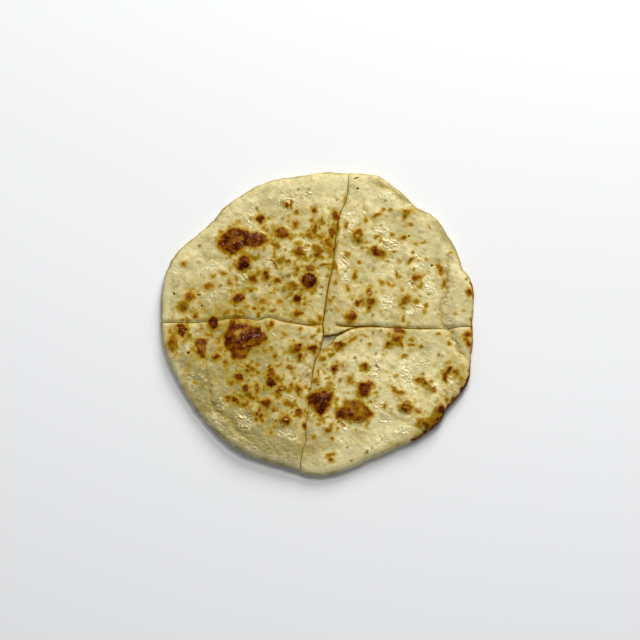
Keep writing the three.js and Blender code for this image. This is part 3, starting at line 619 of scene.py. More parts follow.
# Narrow folds in the crust, with painted shade on their floor: depth, width and line
folds = [
    (0.8, 1.3, [(85.3, 43.5), (84, 36.8), (83.3, 26.8), (82.6, 18), (80, 10.7), (78.7, 4.6), (81, -1.4),
                (84.3, -3.6), (85.8, -7.1), (88.7, -13.1), (90.9, -19.1), (95.4, -22.2)]),
    (0.55, 1.3, [(-72.1, -24.2), (-71.4, -32.3), (-69.5, -41.7), (-66.8, -55.1), (-62.9, -59.1),
                (-55, -64.5), (-51.1, -71.2), (-43.9, -75.9)]),
    (0.3, 1.5, [(-82.6, -28.3), (-84.5, -36.3), (-84.8, -41.7), (-79.5, -48.5), (-70, -58)]),
    (0.45, 1.1, [(81.3, -34.2), (82.1, -40.3), (82.8, -46.3), (82.4, -52.3)]),
    (0.3, 1.3, [(36.3, -47.8), (40.7, -55.3), (48.1, -60.6), (55.5, -64.4), (63.6, -67.4)]),
    (0.3, 1.8, [(38.7, 93.8), (43.9, 90.4), (49.2, 87.1), (54.4, 82.4)]),
    (0.25, 1.5, [(29.5, 80), (30.5, 74), (34, 70.5)]),
]
# Large blisters: X, Y, radius, rise
blisters = [
    (-52, 55, 13, 1.3), (-38, 54, 9, 0.9), (-19, 78, 5, 0.8), (-23, 59, 6, 0.7), (-10.5, 48.5, 7, 0.9),
    (-47, 40, 7, 0.9), (-5, 30, 8, 1.0), (-83.5, 14.5, 8, 0.8), (2, 48, 7, 0.7), (-14, 6, 5, 0.7),
    (-51, 16, 6, 0.7), (26.5, 57, 7, 1.0), (38.5, 47, 7, 0.9), (39, 71, 6, 0.8), (58, 72.5, 6, 0.7),
    (34, 17.5, 8, 1.0), (57, 17, 8, 0.9), (64, 29.5, 6, 0.8), (21.5, 4, 6, 0.9), (80, 36, 5, 0.6),
    (-50, -8, 12, 1.2), (-38, -12, 9, 1.0), (-66, -1, 6, 0.8), (-91, -13, 6, 0.8), (-74.5, -15.5, 7, 0.7),
    (-13.5, -18, 6, 0.7), (-28.5, -35, 7, 0.8), (-45.5, -44, 6, 0.7), (-11, -43, 5, 0.6),
    (-32.5, -51.5, 6, 0.7), (-20, -63, 6, 0.6), (3, -51.5, 9, 1.2), (23.5, -57, 11, 1.1),
    (32, -43.5, 7, 0.9), (50, -12, 7, 0.9), (73, -42, 6, 0.7), (79, -55.5, 6, 0.8), (57, -55, 7, 0.7),
    (68, -65, 6, 0.8), (10.5, -30, 5, 0.7),
]
smallBlisters = {"count": 170, "radius": (3.5, 7), "rise": (0.2, 0.65), "rimClearance": 8, "seed": 20417}
bubbles = {"count": 2600, "radius": (0.9, 2.6), "strength": (0.04, 0.21), "seed": 3}
# Wrinkled, buttery patches: X, Y, half width, half depth, strength, the wrinkles' direction in degrees
wrinklePatches = [
    (-20, 79, 7, 6, 1.0, 30), (-7, 84, 7, 3, 0.8, 10), (-43, 69, 3, 6, 0.9, 80), (-68, 39, 3, 4, 0.9, 60),
    (-69.5, 34.5, 3, 3, 0.8, 20), (-47.5, 31.5, 4, 2.6, 1.0, 10), (-29, 39.5, 5, 4, 1.0, -55),
    (-66.5, 19, 3, 2.4, 0.9, -45), (-57, 21.5, 3, 2, 0.7, 0), (-7, 47.5, 3, 4, 0.9, -60),
    (-21, 48, 3, 3, 0.8, 0), (-91.5, 36.6, 3, 4, 0.6, 50), (-3, 30, 3, 3, 0.8, 30),
    (-36, 59, 6, 2, 0.5, 60), (22, 66, 3.5, 6, 0.7, 90), (41.5, 61, 6, 4, 0.9, 20),
    (47, 52.5, 7, 4, 0.9, -20), (17.5, 41, 4, 7, 1.0, -50), (18, 31, 4, 5, 1.0, 40),
    (41, 31.5, 4, 3, 0.7, 80), (45.5, 14, 5, 6.5, 0.9, 0), (61.5, 27, 4, 4, 1.0, 35),
    (72, 24, 5.5, 7, 0.9, 80), (64, 44, 5, 2, 0.7, 10), (83.5, 15, 2, 5, 0.9, 65),
    (86, 2.5, 4, 3, 0.8, -50), (60, 9, 5, 3, 0.8, 40), (49.5, 44, 3, 5, 0.6, 0),
    (61, 78.5, 4, 2, 0.6, -35), (44, 84, 8, 4, 0.4, 20), (-54.8, -7.5, 2, 3, 0.8, 70),
    (-36.5, -9, 4, 2, 0.8, 20), (-73, -34, 3, 5, 0.9, 70), (-79.5, -35.5, 3, 3, 0.8, 20),
    (-85, -17, 4, 4, 0.6, 70), (-90.5, -21.5, 1.8, 3, 0.8, 80), (-63.5, -5.5, 3, 2.5, 0.7, 40),
    (-46.5, -63, 7, 8, 0.9, 30), (-61.5, -53, 5, 6, 0.7, 30), (-27, -59.5, 3, 4, 0.8, 60),
    (-18.5, -73.5, 7, 4, 0.8, 20), (-29, -8.5, 1.5, 5, 0.7, 85), (-18, -31, 3, 3, 0.6, 30),
    (-17, -48.5, 3, 3, 0.7, 40), (-70, -62, 7, 5, 0.5, -50), (-55, -76, 9, 4, 0.5, -35),
    (36.5, -30, 5, 7, 0.9, 60), (58, -32, 6, 10, 1.0, 85), (68.5, -26, 4, 3, 0.8, 30),
    (41, -54, 6, 4, 0.8, -20), (45, -62.5, 5, 3, 0.8, -40), (54, -70, 5, 3, 1.0, 15),
    (43.5, -76.5, 6, 3.5, 0.8, 30), (17, -66, 7, 4.5, 1.0, 70), (15, -76.5, 3, 2, 0.7, 50),
    (32.5, -83.5, 5, 2, 0.8, 15), (56, -57, 4, 2.5, 0.8, 0), (88, -42, 4, 6, 0.8, 70),
    (49, -37, 4, 4, 0.6, 40), (73, -42, 4, 3, 0.8, -45), (94.5, -20, 3, 2, 0.6, -20),
    (17.4, -3.3, 2.6, 1, 1.0, 10), (24.3, 9.8, 2.6, 1.4, 1.0, 0), (14.6, -9.9, 2.6, 1.2, 1.0, 35),
    (20, 72, 6, 5, 0.5, 70), (15.5, 60, 1.6, 4, 0.9, 80), (29.5, 72, 1.2, 3.5, 0.8, 80),
    (66, 38, 5, 2.5, 0.8, -20), (66, 11, 3, 4, 0.7, 60), (-80, -45, 4, 5, 0.6, -60),
    (-62, -68, 5, 4, 0.6, -45), (-40, -84, 7, 3, 0.5, -25), (26, -65, 9, 2.2, 1.0, 75),
    (47, -14, 3, 3, 0.6, 0), (38, -30, 3, 8, 0.8, 80),
]
# Tiny holes in the crust: X, Y, half length, half width, turn
pinholes = [
    (-76, 18.5, 1.4, 0.5, 0), (-74, 11.5, 0.8, 0.6, 0), (-92, 19, 0.6, 0.5, 0), (74, 38, 0.9, 0.8, 0),
    (59.5, 57.5, 0.6, 0.6, 0), (-82.5, -20, 0.8, 0.7, 0), (-31, -28.5, 1.2, 0.4, 30),
    (25.5, 96, 1.6, 0.4, 20), (26.5, 89, 0.7, 0.5, 0), (-26.5, -64, 0.6, 0.5, 0),
]
surface = {
    "puffInset": 8.5,                # how far inside the rim its puffed stretches are highest
    "puffWidth": 7,
    "waves": [(0.16, 9, 61), (0.13, 4.2, 62), (0.05, 1.9, 63)],        # height, size and seed
    "fineRidges": [(0.06, 3.4, 64, 1), (0.03, 1.9, 65, 0)],            # and how far they are warped
    "wrinkledRidges": 0.14,          # how much higher they are in the wrinkled patches
    "wrinkleHeight": 0.58,
    "wrinkleSize": 2.4,
    "wrinkleStretch": 1.5,
    "rimStreaks": 0.3,               # height of the streaks along the front left rim
    "rimStreaksAt": -122,
    "charRidges": 0.3,
    "charSink": 0.1,
    "holeDepth": 0.6,
}


def smallBlisterSpots():
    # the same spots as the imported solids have, drawn one after another from one seed
    state = smallBlisters["seed"]
    draws = []
    for _ in range(4 * smallBlisters["count"]):
        state = (1664525 * state + 1013904223) % 2**32
        draws.append(state / 2**32)
    turns, reaches, sizes, rises = np.array(draws).reshape(-1, 4).T
    angle = 2 * math.pi * turns
    far = (rimRadius(angle) - smallBlisters["rimClearance"]) * np.sqrt(reaches)
    radius = np.interp(sizes, (0, 1), smallBlisters["radius"])
    rise = np.interp(rises, (0, 1), smallBlisters["rise"])
    return zip(far * np.cos(angle), far * np.sin(angle), radius, rise)


def raiseDomes(field, spots):
    # round rises that end level with what is round them
    for x, y, radius, rise in spots:
        here = around(x, y, radius)
        distance = np.hypot(gridX[here] - x, gridY[here] - y) / radius
        field[here] += rise * np.maximum(0, 1 - distance**2) ** 2


def markDomes():
    # each scorch mark is a blister that touched the hot wall
    for x, y, length, width, turn, dark in allMarks:
        size = math.sqrt(length * width)
        yield x, y, 1.4 * size + 0.6, 0.05 + 0.075 * dark * min(size, 5)


# The relief of the top over its plain height: broad forms, then folds, blisters and wrinkles
relief = np.zeros_like(gridX)
for middle, halfWidth, rise in rimPuffs:
    puff = hump(gridInset - surface["puffInset"], surface["puffWidth"])
    relief += rise * puff * hump(degreesFrom(gridAngle, middle), halfWidth)
for length, direction, phase, height in swells:
    along = turnedInto(gridX, gridY, direction)[0]
    relief += height * np.sin(2 * math.pi * along / length + phase)
for depth, width, line in creases:
    relief -= depth * hump(distanceToLine(gridX, gridY, line), width)
foldShadeField = np.zeros_like(gridX)
for depth, width, line in folds:
    away = distanceToLine(gridX + warpX, gridY + warpY, smoothLine(line, 3))
    relief -= depth * hump(away, width)
    # where the folds' painted shade goes
    foldShadeField = np.maximum(foldShadeField, hump(away, 1.3 * width))
raiseDomes(relief, [*blisters, *smallBlisterSpots(), *scatter(bubbles, 3), *markDomes()])
wrinkled = np.zeros_like(gridX)
for k, (x, y, halfWidth, halfDepth, strength, direction) in enumerate(wrinklePatches):
    spot = around(x, y, 1.4 * max(halfWidth, halfDepth) + 2)
    dx, dy = gridX[spot] + 1.4 * warpX[spot] - x, gridY[spot] + 1.4 * warpY[spot] - y
    patch = strength * (1 - smoothStep(0.45, 1.25, np.hypot(dx / halfWidth, dy / halfDepth)))
    along, across = turnedInto(dx, dy, direction)
    wave = ridges(along / surface["wrinkleStretch"], across, surface["wrinkleSize"], 200 + k) - 0.4
    relief[spot] += surface["wrinkleHeight"] * patch * wave * (1 + 0.8 * softNoise(dx, dy, 2.6, 201 + k))
    paint(wrinkled, spot, patch)
streaks = ridges(20 * gridAngle + 0.3 * warpX, gridInset + warpY, 2.2, 67) - 0.4
streaks *= hump(gridInset - 8, 6) * hump(np.degrees(gridAngle) - surface["rimStreaksAt"], 38)
relief += surface["rimStreaks"] * streaks
relief += layeredNoise(gridX, gridY, *surface["waves"])
for height, size, seed, warp in surface["fineRidges"]:
    fine = ridges(gridX + warp * warpX, gridY + warp * warpY, size, seed) - 0.4
    relief += (height + surface["wrinkledRidges"] * wrinkled) * fine
cracked = ridges(gridX, gridY, 2.1, 66) - 0.5
relief += surface["charRidges"] * smoothStep(0.5, 0.9, scorchField) * cracked
relief -= surface["charSink"] * smoothStep(0.6, 0.9, scorchField)
holeField = np.zeros_like(gridX)
for x, y, length, width, turn in pinholes:
    spot = around(x, y, length + 3)
    paint(holeField, spot, spotShape(spot, x, y, length, width, turn, -0.35, 0.3))
relief -= surface["holeDepth"] * holeField
relief -= cutting["lipDepth"] * hump(cutDistance, cutting["lipWidth"])
relief -= cutting["tearDepth"] * hump(tornDistance, cutting["tearWidth"])
relief += cutting["tabLift"] * hump(distanceToLine(gridX, gridY, tabEdge), cutting["tabLiftWidth"])
relief -= 0.5 * (gridInset < -2)
print("relief drawn, from", round(float(relief.min()), 2), "to", round(float(relief.max()), 2), "mm")

# Scorch and relief of the underside
underMarks = {"count": 90, "radius": (1.5, 9), "strength": (0.45, 0.95), "seed": 29}
underScorch = np.zeros_like(gridX)
for x, y, radius, strength in scatter(underMarks, 6):
    spot = around(x, y, radius + 5)
    outside = markDistance(spot, x, y, radius, 0.75 * radius, 57 * x)
    paint(underScorch, spot, strength * (1 - smoothStep(-1.2, 0.8, outside)))
    paint(underScorch, spot, 0.4 * strength * (1 - smoothStep(-0.5, 3, outside)))
underRelief = 0.22 + layeredNoise(gridX, gridY, (0.2, 8, 71), (0.12, 3, 72))
underRelief = np.maximum(0, underRelief - 0.25 * smoothStep(0.3, 0.7, underScorch))


def topHeight(x, y):
    full = bread["bodyHeight"] + sample(relief, x, y) - bread["rimLineHeight"]
    rounding = fullerRound(np.maximum(0, insetAt(x, y)), bread["topRoundWidth"])
    return bread["rimLineHeight"] + full * rounding


# Meshes of the whole bread, of its cheese and of the blades that cut them
def makeObject(name, points, faces, smooth=True):
    mesh = bpy.data.meshes.new(name)
    mesh.from_pydata(((np.asarray(points) - partOrigin) * mm).tolist(), [], faces)
    mesh.polygons.foreach_set("use_smooth", [smooth] * len(mesh.polygons))
    mesh.update()
    made = bpy.data.objects.new(name, mesh)
    bpy.context.scene.collection.objects.link(made)
    return made


def turnsOf(count):
    # the angles of points spread evenly round a circle
    return 2 * math.pi * np.arange(count) / count


def onRing(angle, radius):
    return radius * np.cos(angle), radius * np.sin(angle)


def bandFaces(inner, innerCount, outer, outerCount, facesUp):
    # one band of triangles between two rings of any number of points
    faces = []
    i = o = 0
    while i < innerCount or o < outerCount:
        stepOuter = (o + 1) * innerCount <= (i + 1) * outerCount
        here, there = inner + i % innerCount, outer + o % outerCount
        after = outer + (o + 1) % outerCount if stepOuter else inner + (i + 1) % innerCount
        faces.append((here, there, after) if facesUp else (here, after, there))
        if stepOuter:
            o += 1
        else:
            i += 1
    return faces


def discFromRings(name, rings, topCount, topMiddle, underMiddle):
    # a closed disc: its rings run from the middle out over the top and back underneath
    counts = [len(ring) for ring in rings]
    *starts, total = np.cumsum([0, *counts]).tolist()
    faces = []
    for k in range(6):
        faces.append((total, starts[0] + k, starts[0] + (k + 1) % 6))
        faces.append((total + 1, starts[-1] + (k + 1) % 6, starts[-1] + k))
    for k in range(1, len(rings)):
        facesUp = k < topCount
        inner, outer = (k - 1, k) if facesUp else (k, k - 1)
        faces += bandFaces(starts[inner], counts[inner], starts[outer], counts[outer], facesUp)
    return makeObject(name, np.concatenate([*rings, [[0, 0, topMiddle], [0, 0, underMiddle]]]), faces)


def breadDisc():
    rings = []
    inner, outer, width = bread["innerRings"], bread["rimRings"], bread["topRoundWidth"]
    for k in range(1, inner + 1):
        angle = turnsOf(6 * k)
        x, y = onRing(angle, k / inner * (rippledRadius(angle) - width))
        rings.append(np.column_stack([x, y, topHeight(x, y)]))
    for k in range(1, outer + 1):
        inset = width * (1 - math.sin(math.pi * k / (2 * outer)))
        angle = turnsOf(6 * (inner + k))
        x, y = onRing(angle, rippledRadius(angle) - inset)
        z = topHeight(x, y) if inset > 0 else np.full(len(x), bread["rimLineHeight"])
        rings.append(np.column_stack([x, y, z]))
    topCount = len(rings)
    for inset in bread["underRoundInsets"]:
        x, y = onRing(angle, rippledRadius(angle) - inset)
        ripple = bread["underRipple"] * softNoise(x, y + 3 * inset, 2.8, 81)
        height = bread["rimLineHeight"] * (1 - roundOver(inset, bread["underRoundWidth"]))
        z = np.maximum(0, height + ripple * (inset < bread["underRoundWidth"]))
        rings.append(np.column_stack([x * (1 + 0.01 * ripple), y * (1 + 0.01 * ripple), z]))
    for k in range(bread["underRings"], 0, -1):
        angle = turnsOf(6 * k)
        radius = k / bread["underRings"] * (rippledRadius(angle) - bread["flatInset"])
        x, y = onRing(angle, radius)
        z = sample(underRelief, x, y) * smoothStep(6, 12, rimRadius(angle) - radius)
        rings.append(np.column_stack([x, y, z]))
    return discFromRings("wholeBread", rings, topCount, float(topHeight(0.0, 0.0)), 0)


def pushedOut(line, reach):
    # the line with both its ends moved outwards
    line = np.array(line, float)
    for end, before in ((0, 1), (-1, -2)):
        heading = line[end] - line[before]
        line[end] += reach * heading / np.hypot(*heading)
    return line


def blade(name, line, gap, floorDepth=None):
    # a thin wall along a line, with rough sides, that leaves a cut where it is taken out
    cutsThrough = floorDepth is None
    line = smoothLine(pushedOut(line, gap / 2 if cutsThrough else 0), cutting["step"])
    heading = np.gradient(line, axis=0)
    heading /= np.hypot(*heading.T)[:, None]
    levels = cutting["wallLevels"]
    floor = np.full(len(line), cutting["bladeBottom"]) if cutsThrough else topHeight(*line.T) - floorDepth
    z = floor[:, None] + (cutting["bladeTop"] - floor[:, None]) * np.linspace(0, 1, levels)
    along = np.arange(len(line))[:, None] * cutting["step"] + 0 * z
    opening = np.ones(len(line)) if cutsThrough else 0.3 + 0.7 * smoothStep(0, 6, along[:, 0])
    sides = []
    for side, seed in ((-1, 91), (1, 92)):
        rough = cutting["wallRoughness"] * layeredNoise(along, z, (1, 1.7, seed), (0.5, 0.9, seed + 2))
        offset = side * (gap / 2 + rough) * np.clip(z / 7, 0.3, 1) * opening[:, None]
        sides.append(np.stack([
            line[:, 0, None] - heading[:, 1, None] * offset,
            line[:, 1, None] + heading[:, 0, None] * offset,
            z,
        ], axis=2))
    loop = np.concatenate([sides[0], sides[1][:, ::-1]], axis=1)
    count = 2 * levels
    faces = []
    for k in range(len(line) - 1):
        near, after = k * count, (k + 1) * count
        for j in range(count):
            faces.append((near + j, after + j, after + (j + 1) % count, near + (j + 1) % count))
    last = (len(line) - 1) * count
    for j in range(levels - 1):
        a, b, c, d = j, j + 1, count - 2 - j, count - 1 - j
        faces.append((a, b, c, d))
        faces.append((last + d, last + c, last + b, last + a))
    return makeObject(name, loop.reshape(-1, 3), faces)


def slab(name, outline, bottom, top):
    count = len(outline)
    points = [np.column_stack([outline, np.full(count, z)]) for z in (bottom, top)]
    faces = [tuple(range(count - 1, -1, -1)), tuple(range(count, 2 * count))]
    faces += [(k, (k + 1) % count, count + (k + 1) % count, count + k) for k in range(count)]
    return makeObject(name, np.concatenate(points), faces, smooth=False)


def carve(obj, cutters, material):
    for cutter in cutters:
        if not cutter.data.materials:
            cutter.data.materials.append(material)
        carving = obj.modifiers.new(cutter.name, "BOOLEAN")
        carving.operation = "DIFFERENCE"
        carving.object = cutter
        carving.solver = "MANIFOLD"
        carving.material_mode = "TRANSFER"
    bpy.context.view_layer.update()
    depsgraph = bpy.context.evaluated_depsgraph_get()
    obj.data = bpy.data.meshes.new_from_object(obj.evaluated_get(depsgraph))
    obj.modifiers.clear()


def looseParts(obj, count):
    # the object's largest separate parts
    for other in bpy.context.selected_objects:
        other.select_set(False)
    bpy.context.view_layer.objects.active = obj
    obj.select_set(True)
    before = set(bpy.context.scene.objects)
    bpy.ops.mesh.separate(type="LOOSE")
    parts = [obj, *(set(bpy.context.scene.objects) - before)]
    parts.sort(key=lambda part: -len(part.data.vertices))
    for scrap in parts[count:]:
        bpy.data.objects.remove(scrap)
    return parts[:count]


def pointsOf(obj):
    flat = np.zeros(len(obj.data.vertices) * 3, np.float32)
    obj.data.vertices.foreach_get("co", flat)
    return flat.reshape(-1, 3).astype(float) / mm + partOrigin


def quartersOf(obj, stem):
    # the four parts that the cuts leave, each named for the place where it lies
    named = {}
    for part in looseParts(obj, 4):
        x, y = pointsOf(part).mean(axis=0)[:2]
        side, hand = "back" if y > 0 else "front", "Left" if x < 0 else "Right"
        part.name = part.data.name = stem + side.capitalize() + hand
        named[side + "_" + hand.lower()] = part
    return named


def finishQuarter(piece, node):
    piece.data.set_sharp_from_angle(angle=math.radians(55))
    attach(piece, "root")
    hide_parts(node)
    print(piece.name, len(piece.data.polygons), "faces")


# Materials
def linear(hexColour):
    channels = [int(hexColour[i:i + 2], 16) / 255 for i in (1, 3, 5)]
    return (*[c / 12.92 if c <= 0.04045 else ((c + 0.055) / 1.055) ** 2.4 for c in channels], 1)


def addNode(tree, kind, settings=None, inputs=None):
    # one node with its settings, its values and its links
    node = tree.nodes.new(kind)
    for name, value in (settings or {}).items():
        setattr(node, name, value)
    for name, value in (inputs or {}).items():
        if isinstance(value, bpy.types.NodeSocket):
            tree.links.new(value, node.inputs[name])
        else:
            node.inputs[name].default_value = value
    return node


def setStops(ramp, stops):
    elements = ramp.color_ramp.elements
    while len(elements) > 1:
        elements.remove(elements[0])
    elements[0].position, elements[0].color = stops[0][0], linear(stops[0][1])
    for position, colour in stops[1:]:
        elements.new(position).color = linear(colour)


def newMaterial(name):
    material = bpy.data.materials.new(name)
    material.use_nodes = True
    material.node_tree.nodes.clear()
    return material, material.node_tree


crust = {
    "creamDough": "#ddd49e",    # well-lit, floury dough: the light end of the tone, which painted light also uses
    "paleDough": "#c8bc84",
    "oliveDough": "#958b50",    # the dark end of the dough's tone, used by thinner dough and by painted shade
    "scorchStops": [
        (0.0, "#cbbc80"), (0.1, "#c3ae58"), (0.2, "#b79a36"), (0.3, "#a98718"), (0.42, "#9b7506"),
        (0.55, "#8c5b00"), (0.7, "#763c00"), (0.84, "#562000"), (1.0, "#330e00"),
    ],
    "olive": "#8a7012",
    "grainSize": 0.9,           # flour's grain, drawn several times coarser than real so that it shows
    "mottleSize": 5,            # patches of thicker and thinner dough
    "mottling": 1.9,
    "roughness": 0.46,
    "charredRoughness": 0.5,
    "specular": 0.3,
    "charredSpecular": 0.1,
    "glint": "#fff6e0",
    "charredGlint": "#b0602a",
    "butterRoughness": 0.12,
    "bump": 0.1,                # height of the grain in millimetres
}


def bakedCrust():
    # Wheat dough baked on a hot wall and brushed with butter: matte and pale where bare, dark brown
    # where it touched, with a thin greasy film that glints on every fold.
    material, tree = newMaterial("bakedCrustButtered")
    place = addNode(tree, "ShaderNodeTexCoord").outputs["Object"]
    scorch, freckle, toneAndShade, butter = (
        addNode(tree, "ShaderNodeAttribute", {"attribute_name": name}).outputs["Fac"]
        for name in ("scorch", "freckle", "toneAndShade", "butter")
    )
    mottle, grain = (
        addNode(tree, "ShaderNodeTexNoise", None, {
            "Vector": place, "Scale": 1 / (size * mm), "Detail": detail, "Roughness": 0.65,
        }).outputs["Fac"]
        for size, detail in ((crust["mottleSize"], 5.0), (crust["grainSize"], 3.0))
    )

    # dough from olive to cream by its tone, which carries painted shade and painted light, and by
    # mottling
    mottled = addNode(tree, "ShaderNodeMath", {"operation": "MULTIPLY_ADD"},
                      {0: mottle, 1: crust["mottling"], 2: -crust["mottling"] / 2})
    toned = addNode(tree, "ShaderNodeMath", {"operation": "ADD", "use_clamp": True},
                    {0: toneAndShade, 1: mottled.outputs[0]})
    dough = addNode(tree, "ShaderNodeValToRGB", None, {"Fac": toned.outputs[0]})
    setStops(dough, [(0.0, crust["oliveDough"]), (0.6, crust["paleDough"]), (1.0, crust["creamDough"])])

    # scorch, broken up by the grain
    speckled = addNode(tree, "ShaderNodeMath", {"operation": "MULTIPLY_ADD"}, {0: grain, 1: 0.7, 2: 0.65})
    charred = addNode(tree, "ShaderNodeMath", {"operation": "MULTIPLY", "use_clamp": True},
                      {0: scorch, 1: speckled.outputs[0]})
    brown = addNode(tree, "ShaderNodeValToRGB", None, {"Fac": charred.outputs[0]})
    setStops(brown, crust["scorchStops"])
    covered = addNode(tree, "ShaderNodeMapRange", None, {
        "Value": scorch, "From Min": 0.02, "From Max": 0.3, "To Min": 0.0, "To Max": 1.0,
    })
    toasted = addNode(tree, "ShaderNodeMix", {"data_type": "RGBA"},
                      {0: covered.outputs[0], 6: dough.outputs[0], 7: brown.outputs[0]})
    dotted = addNode(tree, "ShaderNodeMix", {"data_type": "RGBA"},
                     {0: freckle, 6: toasted.outputs[2], 7: linear(crust["olive"])})

    # gloss: the charred skin is rougher and duller than the dough, and the butter lies over both
    rough = addNode(tree, "ShaderNodeMapRange", None, {
        "Value": charred.outputs[0], "From Min": 0.4, "From Max": 1.0,
        "To Min": crust["roughness"], "To Max": crust["charredRoughness"],
    })
    dulled = addNode(tree, "ShaderNodeMapRange", None, {
        "Value": charred.outputs[0], "From Min": 0.1, "From Max": 0.6,
        "To Min": crust["specular"], "To Max": crust["charredSpecular"],
    })
    sheen = addNode(tree, "ShaderNodeMix", {"data_type": "RGBA"},
                    {0: charred.outputs[0], 6: linear(crust["glint"]), 7: linear(crust["charredGlint"])})
    bump = addNode(tree, "ShaderNodeBump", None, {
        "Height": grain, "Strength": 0.8, "Distance": crust["bump"] * mm,
    })
    shader = addNode(tree, "ShaderNodeBsdfPrincipled", None, {
        "Base Color": dotted.outputs[2], "Roughness": rough.outputs[0], "Normal": bump.outputs[0],
        "IOR": 1.45, "Specular IOR Level": dulled.outputs[0], "Specular Tint": sheen.outputs[2],
        "Subsurface Weight": 0.08, "Subsurface Scale": 0.0012, "Subsurface Radius": (1.0, 0.7, 0.35),
        "Coat Weight": butter, "Coat Roughness": crust["butterRoughness"], "Coat IOR": 1.46,
    })
    addNode(tree, "ShaderNodeOutputMaterial", None, {"Surface": shader.outputs[0]})
    return material


crumb = {
    "light": "#d3c08c",
    "deep": "#ab9357",
    "baked": "#97793a",         # golden-brown close under the crust
    "bakedFrom": 3.5,
    "bakedTo": 6.8,
    "poreSize": 1.4,            # from one bubble in the crumb to the next
    "poreDepth": 0.25,
    "roughness": 0.7,
}


def cutCrumb():
    # The inside of the dough along the cuts: pale, dry and open-pored where the blade went through.
    material, tree = newMaterial("cutCrumbPorous")
    place = addNode(tree, "ShaderNodeTexCoord").outputs["Object"]
    pores = addNode(tree, "ShaderNodeTexVoronoi", {"feature": "F1"}, {
        "Vector": place, "Scale": 1 / (crumb["poreSize"] * mm),
    })
    tint = addNode(tree, "ShaderNodeValToRGB", None, {"Fac": pores.outputs["Distance"]})
    setStops(tint, [(0.0, crumb["deep"]), (0.45, crumb["light"]), (1.0, crumb["light"])])
    bump = addNode(tree, "ShaderNodeBump", None, {
        "Height": pores.outputs["Distance"], "Strength": 0.6, "Distance": crumb["poreDepth"] * mm,
    })
    height = addNode(tree, "ShaderNodeSeparateXYZ", None, {"Vector": place})
    baked = addNode(tree, "ShaderNodeMapRange", None, {
        "Value": height.outputs["Z"],
        "From Min": crumb["bakedFrom"] * mm, "From Max": crumb["bakedTo"] * mm,
    })
    edged = addNode(tree, "ShaderNodeMix", {"data_type": "RGBA"},
                    {0: baked.outputs[0], 6: tint.outputs[0], 7: linear(crumb["baked"])})
    shader = addNode(tree, "ShaderNodeBsdfPrincipled", None, {
        "Base Color": edged.outputs[2], "Roughness": crumb["roughness"], "Normal": bump.outputs[0],
        "IOR": 1.45, "Subsurface Weight": 0.15, "Subsurface Scale": 0.0015,
        "Subsurface Radius": (1.0, 0.8, 0.5),
    })
    addNode(tree, "ShaderNodeOutputMaterial", None, {"Surface": shader.outputs[0]})
    return material


cheeseLook = {
    "ivory": "#c4bb8a",
    "amber": "#9a8e58",
    "streakSize": 6,            # strands of the melted curd
    "streakDepth": 0.3,
    "roughness": 0.24,
}


def meltedCheese():
    # Mild white cheese melted between the layers: smooth, ivory and glossy with fat.
    material, tree = newMaterial("meltedCheeseGlossy")
    place = addNode(tree, "ShaderNodeTexCoord").outputs["Object"]
    streak = addNode(tree, "ShaderNodeTexNoise", None, {
        "Vector": place, "Scale": 1 / (cheeseLook["streakSize"] * mm), "Detail": 3.0, "Distortion": 0.6,
    })
    tint = addNode(tree, "ShaderNodeValToRGB", None, {"Fac": streak.outputs["Fac"]})
    setStops(tint, [(0.3, cheeseLook["amber"]), (0.65, cheeseLook["ivory"])])
    bump = addNode(tree, "ShaderNodeBump", None, {
        "Height": streak.outputs["Fac"], "Strength": 0.5, "Distance": cheeseLook["streakDepth"] * mm,
    })
    shader = addNode(tree, "ShaderNodeBsdfPrincipled", None, {
        "Base Color": tint.outputs[0], "Roughness": cheeseLook["roughness"], "Normal": bump.outputs[0],
        "IOR": 1.46, "Subsurface Weight": 0.2, "Subsurface Scale": 0.0015,
        "Subsurface Radius": (1.0, 0.8, 0.5), "Coat Weight": 0.3, "Coat Roughness": 0.1,
    })
    addNode(tree, "ShaderNodeOutputMaterial", None, {"Surface": shader.outputs[0]})
    return material


crustMaterial, crumbMaterial, cheeseMaterial = bakedCrust(), cutCrumb(), meltedCheese()
print("materials made: crust, crumb and cheese")

# Long strips of painted shade and painted light along the rim: change of tone, width and line
paintedShadeAndLightStrips = [
    (-0.45, 4.5, [(-91, -4), (-87, -20), (-81, -31), (-70, -46), (-60, -60), (-48, -71), (-30, -79),
                  (-8, -82), (10, -80), (30, -75), (52, -67)]),
    (0.5, 3.4, [(-97, 30), (-98, 4), (-94, -25), (-84, -48), (-64, -74), (-36, -88), (-4, -96), (28, -90),
                (55, -78)]),
    (-0.35, 2.6, [(36, 95), (50, 87), (62, 79), (75, 67), (84, 54), (92, 43)]),
    (0.35, 4.5, [(30, 88), (41, 84), (51, 76), (62, 66), (71, 61)]),
]
# Broad changes of the dough's tone, partly its own and partly painted shade and painted light, painted
# highlights where glints lie among them: X, Y, reach and change, where -1 is olive and +1 cream
toneShadeAndLightBlobs = [
    (-48, -48, 44, -0.6), (-22, -86, 22, -0.2), (-86, -36, 17, 0.3), (-10, -28, 15, 0.3),
    (-60, 5, 25, -0.35), (18, -36, 15, 0.25), (33, -52, 11, 0.25), (85, 35, 40, 0.15), (0, 92, 40, 0.08),
    (55, 70, 35, 0.12), (40, -35, 40, 0.2), (45, -70, 38, 0.5), (-75, 40, 30, 0.08), (-20, 25, 30, -0.15),
    (20, 20, 22, -0.1), (62, 77, 9, -0.35), (80, 62, 7, -0.3), (60, 66, 10, -0.2), (57, 8, 18, -0.25),
    (-75, -27, 9, -0.3), (40, 48, 9, 0.2), (-46, 74, 10, 0.25),
]
